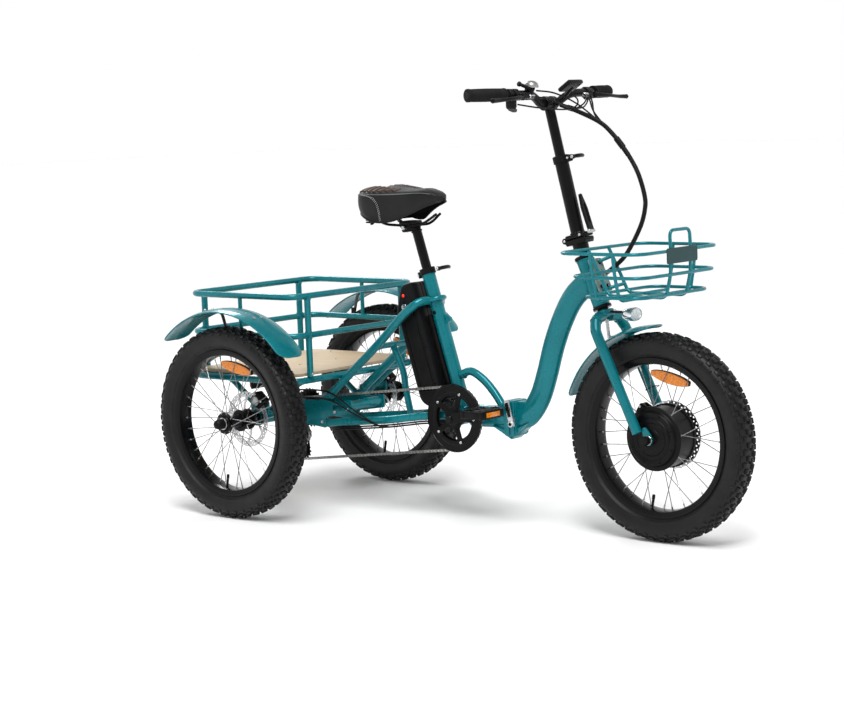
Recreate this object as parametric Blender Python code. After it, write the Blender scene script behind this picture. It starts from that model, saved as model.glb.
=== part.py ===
"""A folding electric cargo tricycle: a front wheel with a hub motor and two rear wheels under a railed deck.

Metres, +Z up, +X forward, +Y to the rider's left. The origin is on the ground midway between the axles.
The shapes are laid out from the rear axle, and the root empty then moves them back by half the wheelbase.
Each object is one physical piece. Pieces that move together share a parent empty on their joint's axis.
"""

import math

import bmesh
import bpy
from mathutils import Matrix, Vector

# ---------------------------------------------------------------- driving dimensions
WHEELBASE = 1.233
HALF_TRACK = 0.340
WHEEL_SEGMENTS = 32
TYRE_RADIUS = 0.2748
AXLE_Z = TYRE_RADIUS * math.cos(math.pi / WHEEL_SEGMENTS)
TYRE_HALF_WIDTH = 0.038
RIM_FLANGE_RADIUS = 0.2095
RIM_INNER_RADIUS = 0.1917
RIM_HALF_WIDTH = 0.027
SPOKE_TIP_RADIUS = 0.1885
GAP = 0.0004

STEERING_TILT = math.radians(23.0)
HEAD_MIDDLE = Vector((1.0287, 0.0, 0.669))
HEAD_LENGTH = 0.150
HEAD_RADIUS = 0.0225
HEAD_BORE = 0.0175
STEERER_RADIUS = 0.0143

SEAT_TILT = math.radians(17.4)
BOTTOM_BRACKET = Vector((0.5843, 0.0, 0.286))
BB_X = BOTTOM_BRACKET.x
BB_Z = BOTTOM_BRACKET.z
BB_LEFT = Vector((BB_X, 0.0330, BB_Z))
BB_RIGHT = Vector((BB_X, -0.0330, BB_Z))
SEAT_TUBE_RADIUS = 0.0190
SEAT_TUBE_BORE = 0.0152
SEAT_TUBE_START = 0.0285
SEAT_TUBE_END = 0.4230
SEAT_POST_RADIUS = 0.0138

STEM_TILT = math.radians(14.0)
STEM_BASE = Vector((0.9866, 0.0, 0.785))
STEM_LOWER_LENGTH = 0.222
STEM_LOWER_RADIUS = 0.0185
STEM_BORE = 0.0148
STEM_UPPER_RADIUS = 0.0136
BAR_CENTRE = Vector((0.8985, 0.0, 1.1400))
BAR_RADIUS = 0.0111
BAR_HALF_WIDTH = 0.312

STEM_PIN_BACK = 0.034
STEM_BARREL_RADIUS = 0.0080
GRIP_INNER = Vector((0.9035, 0.191, 1.1660))
GRIP_OUTER = Vector((0.8690, 0.312, 1.1670))
BLADE_Y = 0.067
BLADE_END = Vector((1.205, BLADE_Y, 0.290))
WIRE_RADIUS = 0.0045

FOLD_X = 0.757
FOLD_TOP = 0.342
FOLD_BOTTOM = 0.244
FOLD_PIN_Y = 0.034
FOLD_MIDDLE = (FOLD_TOP + FOLD_BOTTOM) / 2
KNUCKLE_RADIUS = 0.0085
KNUCKLE_CLEARANCE = 0.0093
REAR_KNUCKLES = ((FOLD_BOTTOM + 0.004, FOLD_BOTTOM + 0.026), (FOLD_TOP - 0.026, FOLD_TOP - 0.004))
FRONT_KNUCKLE = (FOLD_BOTTOM + 0.0268, FOLD_TOP - 0.0268)

STAY_Y = 0.0705
STAY_RADIUS = 0.0120
CHAIN_Y = -0.048
CHAIN_RING_PITCH = 0.0880
SPROCKET_PITCH = 0.0330
PULLEY_PITCH = 0.0235
PULLEY_RADIUS = 0.0190
GUIDE_PULLEY = (0.004, 0.2000)
TENSION_PULLEY = (0.030, 0.1500)
CHAINRING_RADIUS = 0.0828
GUARD_RADIUS = 0.0945
CRANK_LENGTH = 0.170
CRANK_ANGLE = math.radians(12.0)
PEDAL_Y = 0.138

RAIL_RADIUS = 0.0088
BASKET_REAR = -0.238
BASKET_FRONT = 0.180
BASKET_HALF_WIDTH = 0.2596
BASKET_TOP_Z = 0.6258
BASKET_MID_Z = 0.5145
DECK_TOP_Z = 0.4080
DECK_THICKNESS = 0.0100
DECK_TUBE_Z = 0.3860
POST_Y = 0.200

FENDER_RADIUS = 0.325
FRONT_FENDER_RADIUS = 0.292
FENDER_SHEET = 0.0025

SHAFT_START = 0.004
SHAFT_RADIUS = 0.0115
ROTOR_Y = 0.278
AXLE_TUBE_END = 0.245
FRONT_ROTOR_Y = 0.0488

SIDES = {"right": -1, "left": 1}

# ---------------------------------------------------------------- materials
FINISHES = {
    "teal_paint": ((0.012, 0.235, 0.265, 1), 0.28, 0.25),
    "dark_teal_paint": ((0.006, 0.085, 0.090, 1), 0.40, 0.20),
    "black_satin": ((0.012, 0.012, 0.013, 1), 0.45, 0.35),
    "black_plastic": ((0.014, 0.014, 0.015, 1), 0.55, 0.0),
    "tyre_rubber": ((0.022, 0.022, 0.023, 1), 0.80, 0.0),
    "grip_rubber": ((0.018, 0.018, 0.018, 1), 0.85, 0.0),
    "saddle_vinyl": ((0.018, 0.018, 0.019, 1), 0.50, 0.0),
    "steel": ((0.62, 0.62, 0.63, 1), 0.30, 1.0),
    "grey_plate": ((0.45, 0.47, 0.47, 1), 0.45, 0.7),
    "plywood": ((0.70, 0.58, 0.42, 1), 0.55, 0.0),
    "amber": ((0.95, 0.30, 0.02, 1), 0.20, 0.0),
    "red_lens": ((0.55, 0.02, 0.02, 1), 0.20, 0.0),
    "lamp_lens": ((0.75, 0.77, 0.78, 1), 0.10, 0.6),
    "cable_black": ((0.015, 0.015, 0.016, 1), 0.50, 0.0),
}


def material(name):
    found = bpy.data.materials.get(name)
    if found:
        return found
    colour, roughness, metallic = FINISHES[name]
    made = bpy.data.materials.new(name)
    made.use_nodes = True
    shader = made.node_tree.nodes["Principled BSDF"]
    shader.inputs["Base Color"].default_value = colour
    shader.inputs["Roughness"].default_value = roughness
    shader.inputs["Metallic"].default_value = metallic
    made.diffuse_color = colour
    return made


# ---------------------------------------------------------------- scene and bodies
def clear_scene():
    for thing in list(bpy.data.objects):
        bpy.data.objects.remove(thing, do_unlink=True)


def pivot(name, place):
    """An empty on a joint's axis, which carries the pieces that move together."""
    empty = bpy.data.objects.new(name, None)
    empty.location = place
    empty.empty_display_size = 0.05
    bpy.context.scene.collection.objects.link(empty)
    bpy.context.view_layer.update()
    return empty


def carry(body, *pieces):
    for piece in pieces:
        piece.parent = body
        piece.matrix_parent_inverse = body.matrix_world.inverted()


def add_object(name, mesh, finish, smooth=True):
    piece = bpy.data.objects.new(name, mesh)
    bpy.context.scene.collection.objects.link(piece)
    mesh.materials.clear()
    mesh.materials.append(material(finish))
    if smooth:
        mesh.shade_smooth()
        mesh.set_sharp_from_angle(angle=math.radians(40))
    return piece


def add_bmesh(name, work, finish, smooth=True):
    bmesh.ops.remove_doubles(work, verts=work.verts, dist=1e-6)
    bmesh.ops.recalc_face_normals(work, faces=work.faces)
    mesh = bpy.data.meshes.new(name)
    work.to_mesh(mesh)
    work.free()
    return add_object(name, mesh, finish, smooth)


# ---------------------------------------------------------------- shape tools
def frame_at(origin, z_axis, x_hint=(1.0, 0.0, 0.0)):
    """A placement whose local Z runs along z_axis and whose local X is near x_hint."""
    z = Vector(z_axis).normalized()
    x = Vector(x_hint) - z * z.dot(Vector(x_hint))
    if x.length < 1e-4:
        x = Vector((0.0, 1.0, 0.0)) - z * z.y
    x.normalize()
    y = z.cross(x)
    turn = Matrix((x, y, z)).transposed().to_4x4()
    return Matrix.Translation(Vector(origin)) @ turn


def curve_to_mesh(curve, name):
    """The mesh of a curve, with its caps welded to its sides."""
    holder = bpy.data.objects.new(name + "_curve", curve)
    bpy.context.scene.collection.objects.link(holder)
    graph = bpy.context.evaluated_depsgraph_get()
    mesh = bpy.data.meshes.new_from_object(holder.evaluated_get(graph))
    bpy.data.objects.remove(holder)
    bpy.data.curves.remove(curve)
    work = bmesh.new()
    work.from_mesh(mesh)
    bmesh.ops.remove_doubles(work, verts=work.verts, dist=1e-6)
    bmesh.ops.recalc_face_normals(work, faces=work.faces)
    work.to_mesh(mesh)
    work.free()
    mesh.name = name
    return mesh


def tube(name, points, radius, finish, resolution=2, cyclic=False, profile=None, radii=None):
    """A round tube along points, or one with the section of a profile curve."""
    curve = bpy.data.curves.new(name, "CURVE")
    curve.dimensions = "3D"
    spline = curve.splines.new("POLY")
    spline.points.add(len(points) - 1)
    for i, place in enumerate(points):
        spline.points[i].co = (*place, 1.0)
        spline.points[i].radius = radii[i] if radii else 1.0
    spline.use_cyclic_u = cyclic
    curve.use_fill_caps = not cyclic
    if profile:
        curve.bevel_mode = "OBJECT"
        curve.bevel_object = profile
        curve.twist_mode = "Z_UP"
    else:
        curve.bevel_depth = radius
        curve.bevel_resolution = resolution
    return add_object(name, curve_to_mesh(curve, name), finish)


def oval_profile(name, half_y, half_z, corners=12, power=2.6):
    """A guide curve with the outline of a rounded oval."""
    curve = bpy.data.curves.new(name, "CURVE")
    curve.dimensions = "2D"
    spline = curve.splines.new("POLY")
    spline.points.add(corners - 1)
    for i in range(corners):
        turn = 2 * math.pi * (i + 0.5) / corners
        across = abs(math.cos(turn)) ** (2 / power) * math.copysign(half_y, math.cos(turn))
        up = abs(math.sin(turn)) ** (2 / power) * math.copysign(half_z, math.sin(turn))
        spline.points[i].co = (across, up, 0.0, 1.0)
    spline.use_cyclic_u = True
    guide = bpy.data.objects.new(name, curve)
    bpy.context.scene.collection.objects.link(guide)
    guide.hide_render = True
    guide.display_type = "WIRE"
    return guide


def plate(name, outlines, thickness, placement, finish, smooth=False):
    """A flat piece: the first outline with the other outlines as holes, centred on its thickness."""
    curve = bpy.data.curves.new(name, "CURVE")
    curve.dimensions = "2D"
    curve.fill_mode = "BOTH"
    curve.extrude = thickness / 2
    for outline in outlines:
        spline = curve.splines.new("POLY")
        spline.points.add(len(outline) - 1)
        for i, (x, y) in enumerate(outline):
            spline.points[i].co = (x, y, 0.0, 1.0)
        spline.use_cyclic_u = True
    mesh = curve_to_mesh(curve, name)
    mesh.transform(placement)
    return add_object(name, mesh, finish, smooth)


def lathe(name, profile, placement, finish, steps=24, turn_offset=0.0):
    """Turns (radius, height) points round the placement's Z. A profile off the axis is a closed ring."""
    work = bmesh.new()
    verts = [work.verts.new((radius, 0.0, height)) for radius, height in profile]
    closed = min(radius for radius, _ in profile) > 1e-9
    pairs = list(zip(verts, verts[1:])) + ([(verts[-1], verts[0])] if closed else [])
    edges = [work.edges.new(pair) for pair in pairs]
    bmesh.ops.rotate(work, verts=verts, cent=(0, 0, 0), matrix=Matrix.Rotation(turn_offset, 3, "Z"))
    bmesh.ops.spin(
        work, geom=verts + edges, cent=(0, 0, 0), axis=(0, 0, 1), angle=2 * math.pi, steps=steps
    )
    bmesh.ops.transform(work, matrix=placement, verts=work.verts)
    return add_bmesh(name, work, finish)


def block(name, size, placement, finish, bevel=0.0, segments=1):
    """A box with bevelled edges, centred on its placement."""
    work = bmesh.new()
    bmesh.ops.create_cube(work, size=1.0)
    bmesh.ops.scale(work, vec=size, verts=work.verts)
    if bevel:
        bmesh.ops.bevel(
            work, geom=work.edges[:], offset=bevel, segments=segments, affect="EDGES", profile=0.5
        )
    bmesh.ops.transform(work, matrix=placement, verts=work.verts)
    return add_bmesh(name, work, finish, smooth=segments > 1)


def at(x, y, z):
    return Matrix.Translation((x, y, z))


def upright(x, y, z):
    """The placement of a plate that stands along the object: local X forward, local Y up."""
    return frame_at((x, y, z), (0.0, -1.0, 0.0))


def rod(name, start, end, radius, finish, sides=12, bore=0.0):
    """A straight round bar, or a tube when it has a bore."""
    length = (Vector(end) - Vector(start)).length
    if bore:
        profile = [(bore, 0.0), (radius, 0.0), (radius, length), (bore, length)]
    else:
        profile = [(0.0, 0.0), (radius, 0.0), (radius, length), (0.0, length)]
    return lathe(name, profile, frame_at(start, Vector(end) - Vector(start)), finish, steps=sides)


def apply_guides(base, operation, guides, solver):
    """Adds a Boolean for each guide. The guides stay in the file, hidden, and ride with the base."""
    carry(base, *guides)
    for guide in guides:
        step = base.modifiers.new(guide.name, "BOOLEAN")
        step.operation = operation
        step.solver = solver
        step.object = guide
        guide.hide_render = True
        guide.display_type = "WIRE"
    return base


def combine(base, *guides, solver="EXACT"):
    return apply_guides(base, "UNION", guides, solver)


def cut(base, *guides, solver="EXACT"):
    return apply_guides(base, "DIFFERENCE", guides, solver)


def circle(radius, count, centre=(0.0, 0.0), start=0.0):
    turns = [start + 2 * math.pi * i / count for i in range(count)]
    return [(centre[0] + radius * math.cos(t), centre[1] + radius * math.sin(t)) for t in turns]


def smooth_route(knots, per_span=4):
    """Points on a smooth curve through the knots."""
    knots = [Vector(k) for k in knots]
    ends = [2 * knots[0] - knots[1], *knots, 2 * knots[-1] - knots[-2]]
    route = []
    for a, b, c, d in zip(ends, ends[1:], ends[2:], ends[3:]):
        for step in range(per_span):
            t = step / per_span
            route.append(
                0.5 * (
                    2 * b + (c - a) * t + (2 * a - 5 * b + 4 * c - d) * t**2 + (3 * b - a - 3 * c + d) * t**3
                )
            )
    route.append(knots[-1])
    return route


def rounded_loop(x_low, x_high, half_y, z, radius, per_corner=3):
    """A level rectangle with round corners."""
    corners = [(x_high - radius, half_y - radius, 0), (x_low + radius, half_y - radius, 90)]
    corners += [(x_low + radius, radius - half_y, 180), (x_high - radius, radius - half_y, 270)]
    loop = []
    for cx, cy, first in corners:
        for step in range(per_corner + 1):
            turn = math.radians(first + 90 * step / per_corner)
            loop.append(Vector((cx + radius * math.cos(turn), cy + radius * math.sin(turn), z)))
    return loop


def mirrored(point, side):
    return Vector((point[0], point[1] * side, point[2]))


STEERING_UP = Vector((-math.sin(STEERING_TILT), 0.0, math.cos(STEERING_TILT)))
SEAT_UP = Vector((-math.sin(SEAT_TILT), 0.0, math.cos(SEAT_TILT)))
SEAT_BACK = Vector((-math.cos(SEAT_TILT), 0.0, -math.sin(SEAT_TILT)))
STEM_UP = Vector((-math.sin(STEM_TILT), 0.0, math.cos(STEM_TILT)))
STEM_FRONT = Vector((math.cos(STEM_TILT), 0.0, math.sin(STEM_TILT)))


def on_seat_line(up, back=0.0, y=0.0):
    return BOTTOM_BRACKET + SEAT_UP * up + SEAT_BACK * back + Vector((0.0, y, 0.0))


def on_stem_line(up, front=0.0, y=0.0):
    return STEM_BASE + STEM_UP * up + STEM_FRONT * front + Vector((0.0, y, 0.0))


def on_head_line(up, front=0.0, y=0.0):
    forward = Vector((math.cos(STEERING_TILT), 0.0, math.sin(STEERING_TILT)))
    return HEAD_MIDDLE + STEERING_UP * up + forward * front + Vector((0.0, y, 0.0))


# ---------------------------------------------------------------- wheels
def wheel_frame(x, y):
    return frame_at((x, y, AXLE_Z), (0.0, 1.0, 0.0))


def tyre(name, x, y):
    """A fat tyre: an open-bottomed carcass whose beads sit inside the rim's flanges."""
    w = TYRE_HALF_WIDTH
    outer = TYRE_RADIUS
    half = [(outer, 0.018), (outer - 0.010, 0.0335), (outer - 0.026, w)]
    half += [
        (RIM_FLANGE_RADIUS + 0.001, 0.0240), (0.2040, 0.0236), (0.2040, 0.0200),
        (outer - 0.030, w - 0.005)
    ]
    profile = half + [(radius, -across) for radius, across in reversed(half)]
    start = math.pi / WHEEL_SEGMENTS
    return lathe(name, profile, wheel_frame(x, y), "tyre_rubber", WHEEL_SEGMENTS, start)


def rim(name, x, y):
    """A single-wall rim with a bead seat between two flanges."""
    w = RIM_HALF_WIDTH
    top = RIM_FLANGE_RADIUS
    profile = [(0.2030, w - 0.0025), (top, w - 0.0025), (top, w), (RIM_INNER_RADIUS, w - 0.004)]
    profile += [(radius, -across) for radius, across in reversed(profile)]
    start = math.pi / WHEEL_SEGMENTS
    return lathe(name, profile, wheel_frame(x, y), "black_satin", WHEEL_SEGMENTS, start)


def spoked_hub(name, profile, flange_bands, x, y, finish, lean, spoke_radius=0.0011, count=32):
    """A turned hub with one spoke drawn out of each facet of its flanges, ending just short of the rim."""
    placement = wheel_frame(x, y)
    work = bmesh.new()
    verts = [work.verts.new((radius, 0.0, height)) for radius, height in profile]
    pairs = list(zip(verts, verts[1:])) + [(verts[-1], verts[0])]
    edges = [work.edges.new(pair) for pair in pairs]
    half_count = count // 2
    bmesh.ops.spin(
        work, geom=verts + edges, cent=(0, 0, 0), axis=(0, 0, 1), angle=2 * math.pi, steps=half_count
    )
    bmesh.ops.remove_doubles(work, verts=work.verts, dist=1e-6)
    bmesh.ops.recalc_face_normals(work, faces=work.faces)
    for band, (radius, height) in enumerate(flange_bands):
        side = math.copysign(1.0, height)
        found = [
            face
            for face in work.faces
            if abs(face.calc_center_median().z - height) < 1e-4
            and abs(face.calc_center_median().xy.length - radius * math.cos(math.pi / half_count)) < 1e-4
        ]
        for face in found:
            middle = face.calc_center_median()
            turn = math.atan2(middle.y, middle.x)
            tip_turn = turn + lean * side
            tip = Vector((math.cos(tip_turn), math.sin(tip_turn), 0.0)) * SPOKE_TIP_RADIUS
            tip.z = 0.0035 * side
            axis = (tip - middle).normalized()
            across = axis.cross(Vector((0, 0, 1))).normalized()
            up = across.cross(axis)
            outer = bmesh.ops.extrude_discrete_faces(work, faces=[face])["faces"][0]
            for v in outer.verts:
                angle = math.atan2((v.co - middle).dot(up), (v.co - middle).dot(across))
                v.co = tip + (across * math.cos(angle) + up * math.sin(angle)) * spoke_radius
    bmesh.ops.transform(work, matrix=placement, verts=work.verts)
    return add_bmesh(name, work, finish)


def brake_rotor(name, y, x, radius, carrier_radius, bore):
    """A thin ring with windows between its arms."""
    outlines = [circle(radius, 20), list(reversed(circle(bore, 10)))]
    arms = 5
    for arm in range(arms):
        first = 2 * math.pi * (arm + 0.16) / arms
        last = 2 * math.pi * (arm + 0.84) / arms
        inner = carrier_radius
        outer = radius - 0.016
        window = [(outer * math.cos(t), outer * math.sin(t)) for t in spread(first, last, 4)]
        window += [(inner * math.cos(t), inner * math.sin(t)) for t in spread(last, first, 3)]
        outlines.append(window)
    return plate(name, outlines, 0.0018, wheel_frame(x, y), "steel")


def spread(first, last, count):
    return [first + (last - first) * i / (count - 1) for i in range(count)]


def build_rear_wheel(side_name):
    side = SIDES[side_name]
    y = HALF_TRACK * side
    body = pivot(f"rear_wheel_{side_name}_pivot", (0.0, y, AXLE_Z))
    hub_profile = [
        (0.0125, -0.036), (0.0200, -0.036), (0.0310, -0.0315), (0.0310, -0.0275), (0.0165, -0.024)
    ]
    hub_profile += [(radius, -height) for radius, height in reversed(hub_profile)]
    bands = [(0.0310, -0.0295), (0.0310, 0.0295)]
    hub = spoked_hub(f"hub_and_spokes_{side_name}", hub_profile, bands, 0.0, y, "black_satin", 0.55)
    length = y * side + 0.068 - SHAFT_START
    shaft_profile = [
        (0.0, 0.0), (SHAFT_RADIUS, 0.0), (SHAFT_RADIUS, length - 0.029), (0.0175, length - 0.029)
    ]
    shaft_profile += [(0.0175, length - 0.022), (0.0110, length - 0.019), (0.0110, length), (0.0, length)]
    outward = frame_at((0, SHAFT_START * side, AXLE_Z), (0, side, 0))
    shaft = lathe(f"axle_shaft_{side_name}", shaft_profile, outward, "black_satin", 16)
    flange = brake_rotor(f"brake_rotor_{side_name}", ROTOR_Y * side, 0.0, 0.080, 0.036, 0.0130)
    carrier_profile = [
        (0.0125, 0.0), (0.0300, 0.0), (0.0300, 0.008), (0.0220, 0.012), (0.0220, 0.0285), (0.0125, 0.0285)
    ]
    carrier_start = frame_at((0, (ROTOR_Y - 0.004) * side, AXLE_Z), (0, side, 0))
    carrier = lathe(f"rotor_carrier_{side_name}", carrier_profile, carrier_start, "black_satin", 16)
    rotor = combine(flange, carrier)
    carry(body, tyre(f"tyre_{side_name}", 0.0, y), rim(f"rim_{side_name}", 0.0, y), hub, shaft, rotor)
    return body


def build_front_wheel(fork):
    body = pivot("front_wheel_pivot", (WHEELBASE, 0.0, AXLE_Z))
    carry(fork, body)
    profile = [
        (0.0080, -0.0495), (0.0240, -0.0495), (0.0300, -0.0465), (0.0700, -0.0465), (0.0770, -0.0400)
    ]
    profile += [(0.0840, -0.0360), (0.0840, -0.0300), (0.0790, -0.0270)]
    profile += [(0.0790, 0.0270), (0.0840, 0.0300), (0.0840, 0.0360), (0.0770, 0.0400), (0.0700, 0.0465)]
    profile += [(0.0300, 0.0465), (0.0080, 0.0465)]
    bands = [(0.0840, -0.0330), (0.0840, 0.0330)]
    motor = spoked_hub("hub_motor", profile, bands, WHEELBASE, 0.0, "black_satin", 0.20)
    rotor = brake_rotor("brake_rotor_front", FRONT_ROTOR_Y, WHEELBASE, 0.090, 0.040, 0.0140)
    carry(body, tyre("tyre_front", WHEELBASE, 0.0), rim("rim_front", WHEELBASE, 0.0), motor, rotor)


# ---------------------------------------------------------------- rear frame
def build_seat_tube():
    """The seat tube with the bottom bracket shell, the battery rail and the seat collar."""
    start = on_seat_line(SEAT_TUBE_START - 0.012)
    seat_tube = rod("seat_tube", start, on_seat_line(SEAT_TUBE_END), SEAT_TUBE_RADIUS, "teal_paint", 16)
    shell = rod("shell_guide", BB_LEFT, BB_RIGHT, 0.0225, "teal_paint", 16)
    rail_placement = frame_at(on_seat_line(0.180, 0.0245), SEAT_UP, SEAT_BACK)
    rail = block("rail_guide", (0.016, 0.034, 0.240), rail_placement, "black_plastic", 0.002)
    collar = rod(
        "collar_guide", on_seat_line(SEAT_TUBE_END - 0.020), on_seat_line(SEAT_TUBE_END + 0.004), 0.0225,
        "black_satin", 16
    )
    ears_placement = frame_at(on_seat_line(SEAT_TUBE_END - 0.008, -0.026), SEAT_UP, SEAT_BACK)
    ears = block("ears_guide", (0.016, 0.018, 0.018), ears_placement, "black_satin", 0.002)
    bore = rod(
        "seat_bore_guide", on_seat_line(0.040), on_seat_line(0.460), SEAT_TUBE_BORE, "teal_paint", 16
    )
    spindle_bore = rod(
        "spindle_bore_guide", (BB_X, -0.06, BB_Z), (BB_X, 0.06, BB_Z), 0.0115, "teal_paint", 16
    )
    combine(seat_tube, shell, rail, collar, ears, solver="MANIFOLD")
    cut(seat_tube, bore, spindle_bore, solver="MANIFOLD")
    return seat_tube


def build_main_tube():
    """The low tube and its brace, which carry the rear half of the folding hinge."""
    profile = oval_profile("main_tube_section", 0.0210, 0.0310)
    path = [
        (BB_X + 0.0232, 0, 0.2885), (0.660, 0, 0.2890), (0.715, 0, 0.2915), (FOLD_X - 0.010, 0, 0.2930)
    ]
    main_tube = tube("main_tube", path, 0, "teal_paint", profile=profile)
    brace_path = smooth_route(
        [
            (0.5705, 0, 0.4003), (0.6050, 0, 0.4110), (0.6480, 0, 0.3900), (0.6850, 0, 0.3560),
            (0.7150, 0, 0.3180)
        ], 3
    )
    brace = tube("brace_guide", brace_path, 0.0115, "teal_paint")
    hinge = block(
        "rear_hinge_guide", (0.016, 0.062, FOLD_TOP - FOLD_BOTTOM), at(FOLD_X - 0.0085, 0, FOLD_MIDDLE),
        "teal_paint", 0.004
    )
    knuckles = [
        fold_knuckle(f"rear_knuckle_{i}_guide", low, high, KNUCKLE_RADIUS)
        for i, (low, high) in enumerate(REAR_KNUCKLES)
    ]
    combine(main_tube, brace, hinge, *knuckles)
    low, high = FRONT_KNUCKLE
    room = fold_knuckle("front_knuckle_room_guide", low - GAP, high + GAP, KNUCKLE_CLEARANCE)
    return cut(main_tube, room)


def fold_knuckle(name, low, high, radius):
    """A barrel round the frame hinge's upright pin."""
    return rod(name, (FOLD_X, FOLD_PIN_Y, low), (FOLD_X, FOLD_PIN_Y, high), radius, "teal_paint", 16)


def build_stays(side_name):
    side = SIDES[side_name]
    y = STAY_Y * side
    knots = [
        (0.4768, 0.0192, 0.6060), (0.4640, 0.0450, 0.6030), (0.4480, 0.0620, 0.5890),
        (0.4150, 0.0690, 0.5620)
    ]
    upper = smooth_route([mirrored(k, side) for k in knots], 2)
    upper += [Vector((0.330, y, 0.4850)), Vector((0.210, y, 0.3880)), Vector((0.130, y, 0.3240))]
    seatstay = tube(f"seatstay_{side_name}", upper, STAY_RADIUS, "teal_paint")
    knots = [
        (0.5582, 0.0145, 0.2860), (0.5200, 0.0240, 0.2850), (0.4700, 0.0380, 0.2820),
        (0.4100, 0.0560, 0.2750)
    ]
    lower = smooth_route([mirrored(k, side) for k in knots], 2)
    lower += [Vector((0.340, y, 0.2660)), Vector((0.150, y, 0.2460)), Vector((0.1165, y, 0.2425))]
    chainstay = tube(f"chainstay_{side_name}", lower, STAY_RADIUS * 0.92, "teal_paint")
    return [seatstay, chainstay]


def build_axle_carrier():
    """The housing of the rear axle: a hollow cross tube in two welded side plates."""
    outline = [
        (-0.030, 0.245), (0.000, 0.238), (0.112, 0.2270), (0.1140, 0.2600), (0.215, 0.2760),
        (0.215, 0.3140)
    ]
    outline += [
        (0.137, 0.3060), (0.1285, 0.3160), (0.1205, 0.3250), (0.108, 0.3220), (0.092, 0.3080),
        (-0.030, 0.3040)
    ]
    window = [(0.135, 0.2800), (0.135, 0.2960), (0.180, 0.2990), (0.180, 0.2840)]
    carrier = rod(
        "axle_carrier", (0, -AXLE_TUBE_END, AXLE_Z), (0, AXLE_TUBE_END, AXLE_Z), 0.0210, "teal_paint", 16
    )
    plates = [
        plate(
            f"axle_plate_{name}_guide", [outline, window], 0.006, upright(0, STAY_Y * side, 0),
            "teal_paint"
        )
        for name, side in SIDES.items()
    ]
    spacer = block("spacer_guide", (0.030, 2 * STAY_Y, 0.030), at(0.196, 0, 0.2950), "teal_paint", 0.003)
    feet = [
        block(
            f"caliper_foot_{name}_guide", (0.070, 0.0265, 0.036), at(0.028, 0.2442 * side, 0.306),
            "teal_paint", 0.003
        )
        for name, side in SIDES.items()
    ]
    combine(carrier, *plates, spacer, *feet, solver="MANIFOLD")
    bore = rod("axle_bore_guide", (0, -0.30, AXLE_Z), (0, 0.30, AXLE_Z), 0.0135, "teal_paint", 16)
    slot = block("cassette_slot_guide", (0.120, 0.050, 0.130), at(0, -0.0340, AXLE_Z), "teal_paint")
    return cut(carrier, bore, slot, solver="MANIFOLD")


def build_rack():
    """The deck's tube frame with its struts, the plywood deck and the railed basket above it."""
    frame_loop = rounded_loop(BASKET_REAR + 0.004, 0.173, BASKET_HALF_WIDTH - 0.004, DECK_TUBE_Z, 0.035)
    deck_frame = tube("deck_frame", frame_loop, 0.0095, "teal_paint", cyclic=True)
    welded = []
    for name, side in SIDES.items():
        strut = [
            (-0.165, 0.205 * side, 0.3860), (-0.130, 0.205 * side, 0.372), (-0.0175, 0.205 * side, 0.2868)
        ]
        welded.append(tube(f"strut_{name}_guide", strut, 0.0090, "teal_paint"))
        hanger = [
            (0.165, 0.205 * side, 0.3860), (0.130, 0.205 * side, 0.372), (0.0175, 0.205 * side, 0.2868)
        ]
        welded.append(tube(f"hanger_{name}_guide", hanger, 0.0090, "teal_paint"))
    for i, x in enumerate((-0.130, 0.020)):
        cross = [(x, -0.250, DECK_TUBE_Z), (x, 0.250, DECK_TUBE_Z)]
        welded.append(rod(f"cross_{i}_guide", *cross, 0.0085, "teal_paint", 8))
    combine(deck_frame, *welded)
    deck_size = (BASKET_FRONT - BASKET_REAR - 0.022, 2 * BASKET_HALF_WIDTH - 0.020, DECK_THICKNESS)
    deck_middle = ((BASKET_FRONT + BASKET_REAR) / 2, 0, DECK_TOP_Z - DECK_THICKNESS / 2)
    deck = block("cargo_deck", deck_size, at(*deck_middle), "plywood")
    top_loop = rounded_loop(BASKET_REAR, BASKET_FRONT, BASKET_HALF_WIDTH, BASKET_TOP_Z, 0.045)
    basket = tube("cargo_basket", top_loop, RAIL_RADIUS, "teal_paint", cyclic=True)
    mid_loop = rounded_loop(BASKET_REAR, BASKET_FRONT, BASKET_HALF_WIDTH, BASKET_MID_Z, 0.045)
    rails = [tube("mid_rail_guide", mid_loop, RAIL_RADIUS, "teal_paint", cyclic=True)]
    for x in (BASKET_REAR, BASKET_FRONT):
        for name, side in SIDES.items():
            foot = DECK_TUBE_Z + 0.0095 + GAP
            end_name = "rear" if x < 0 else "front"
            post_line = [(x, POST_Y * side, foot), (x, POST_Y * side, BASKET_TOP_Z)]
            post = rod(f"post_{name}_{end_name}_guide", *post_line, 0.0092, "teal_paint", 10)
            rails.append(post)
    return [deck_frame, deck, combine(basket, *rails)]


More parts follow.
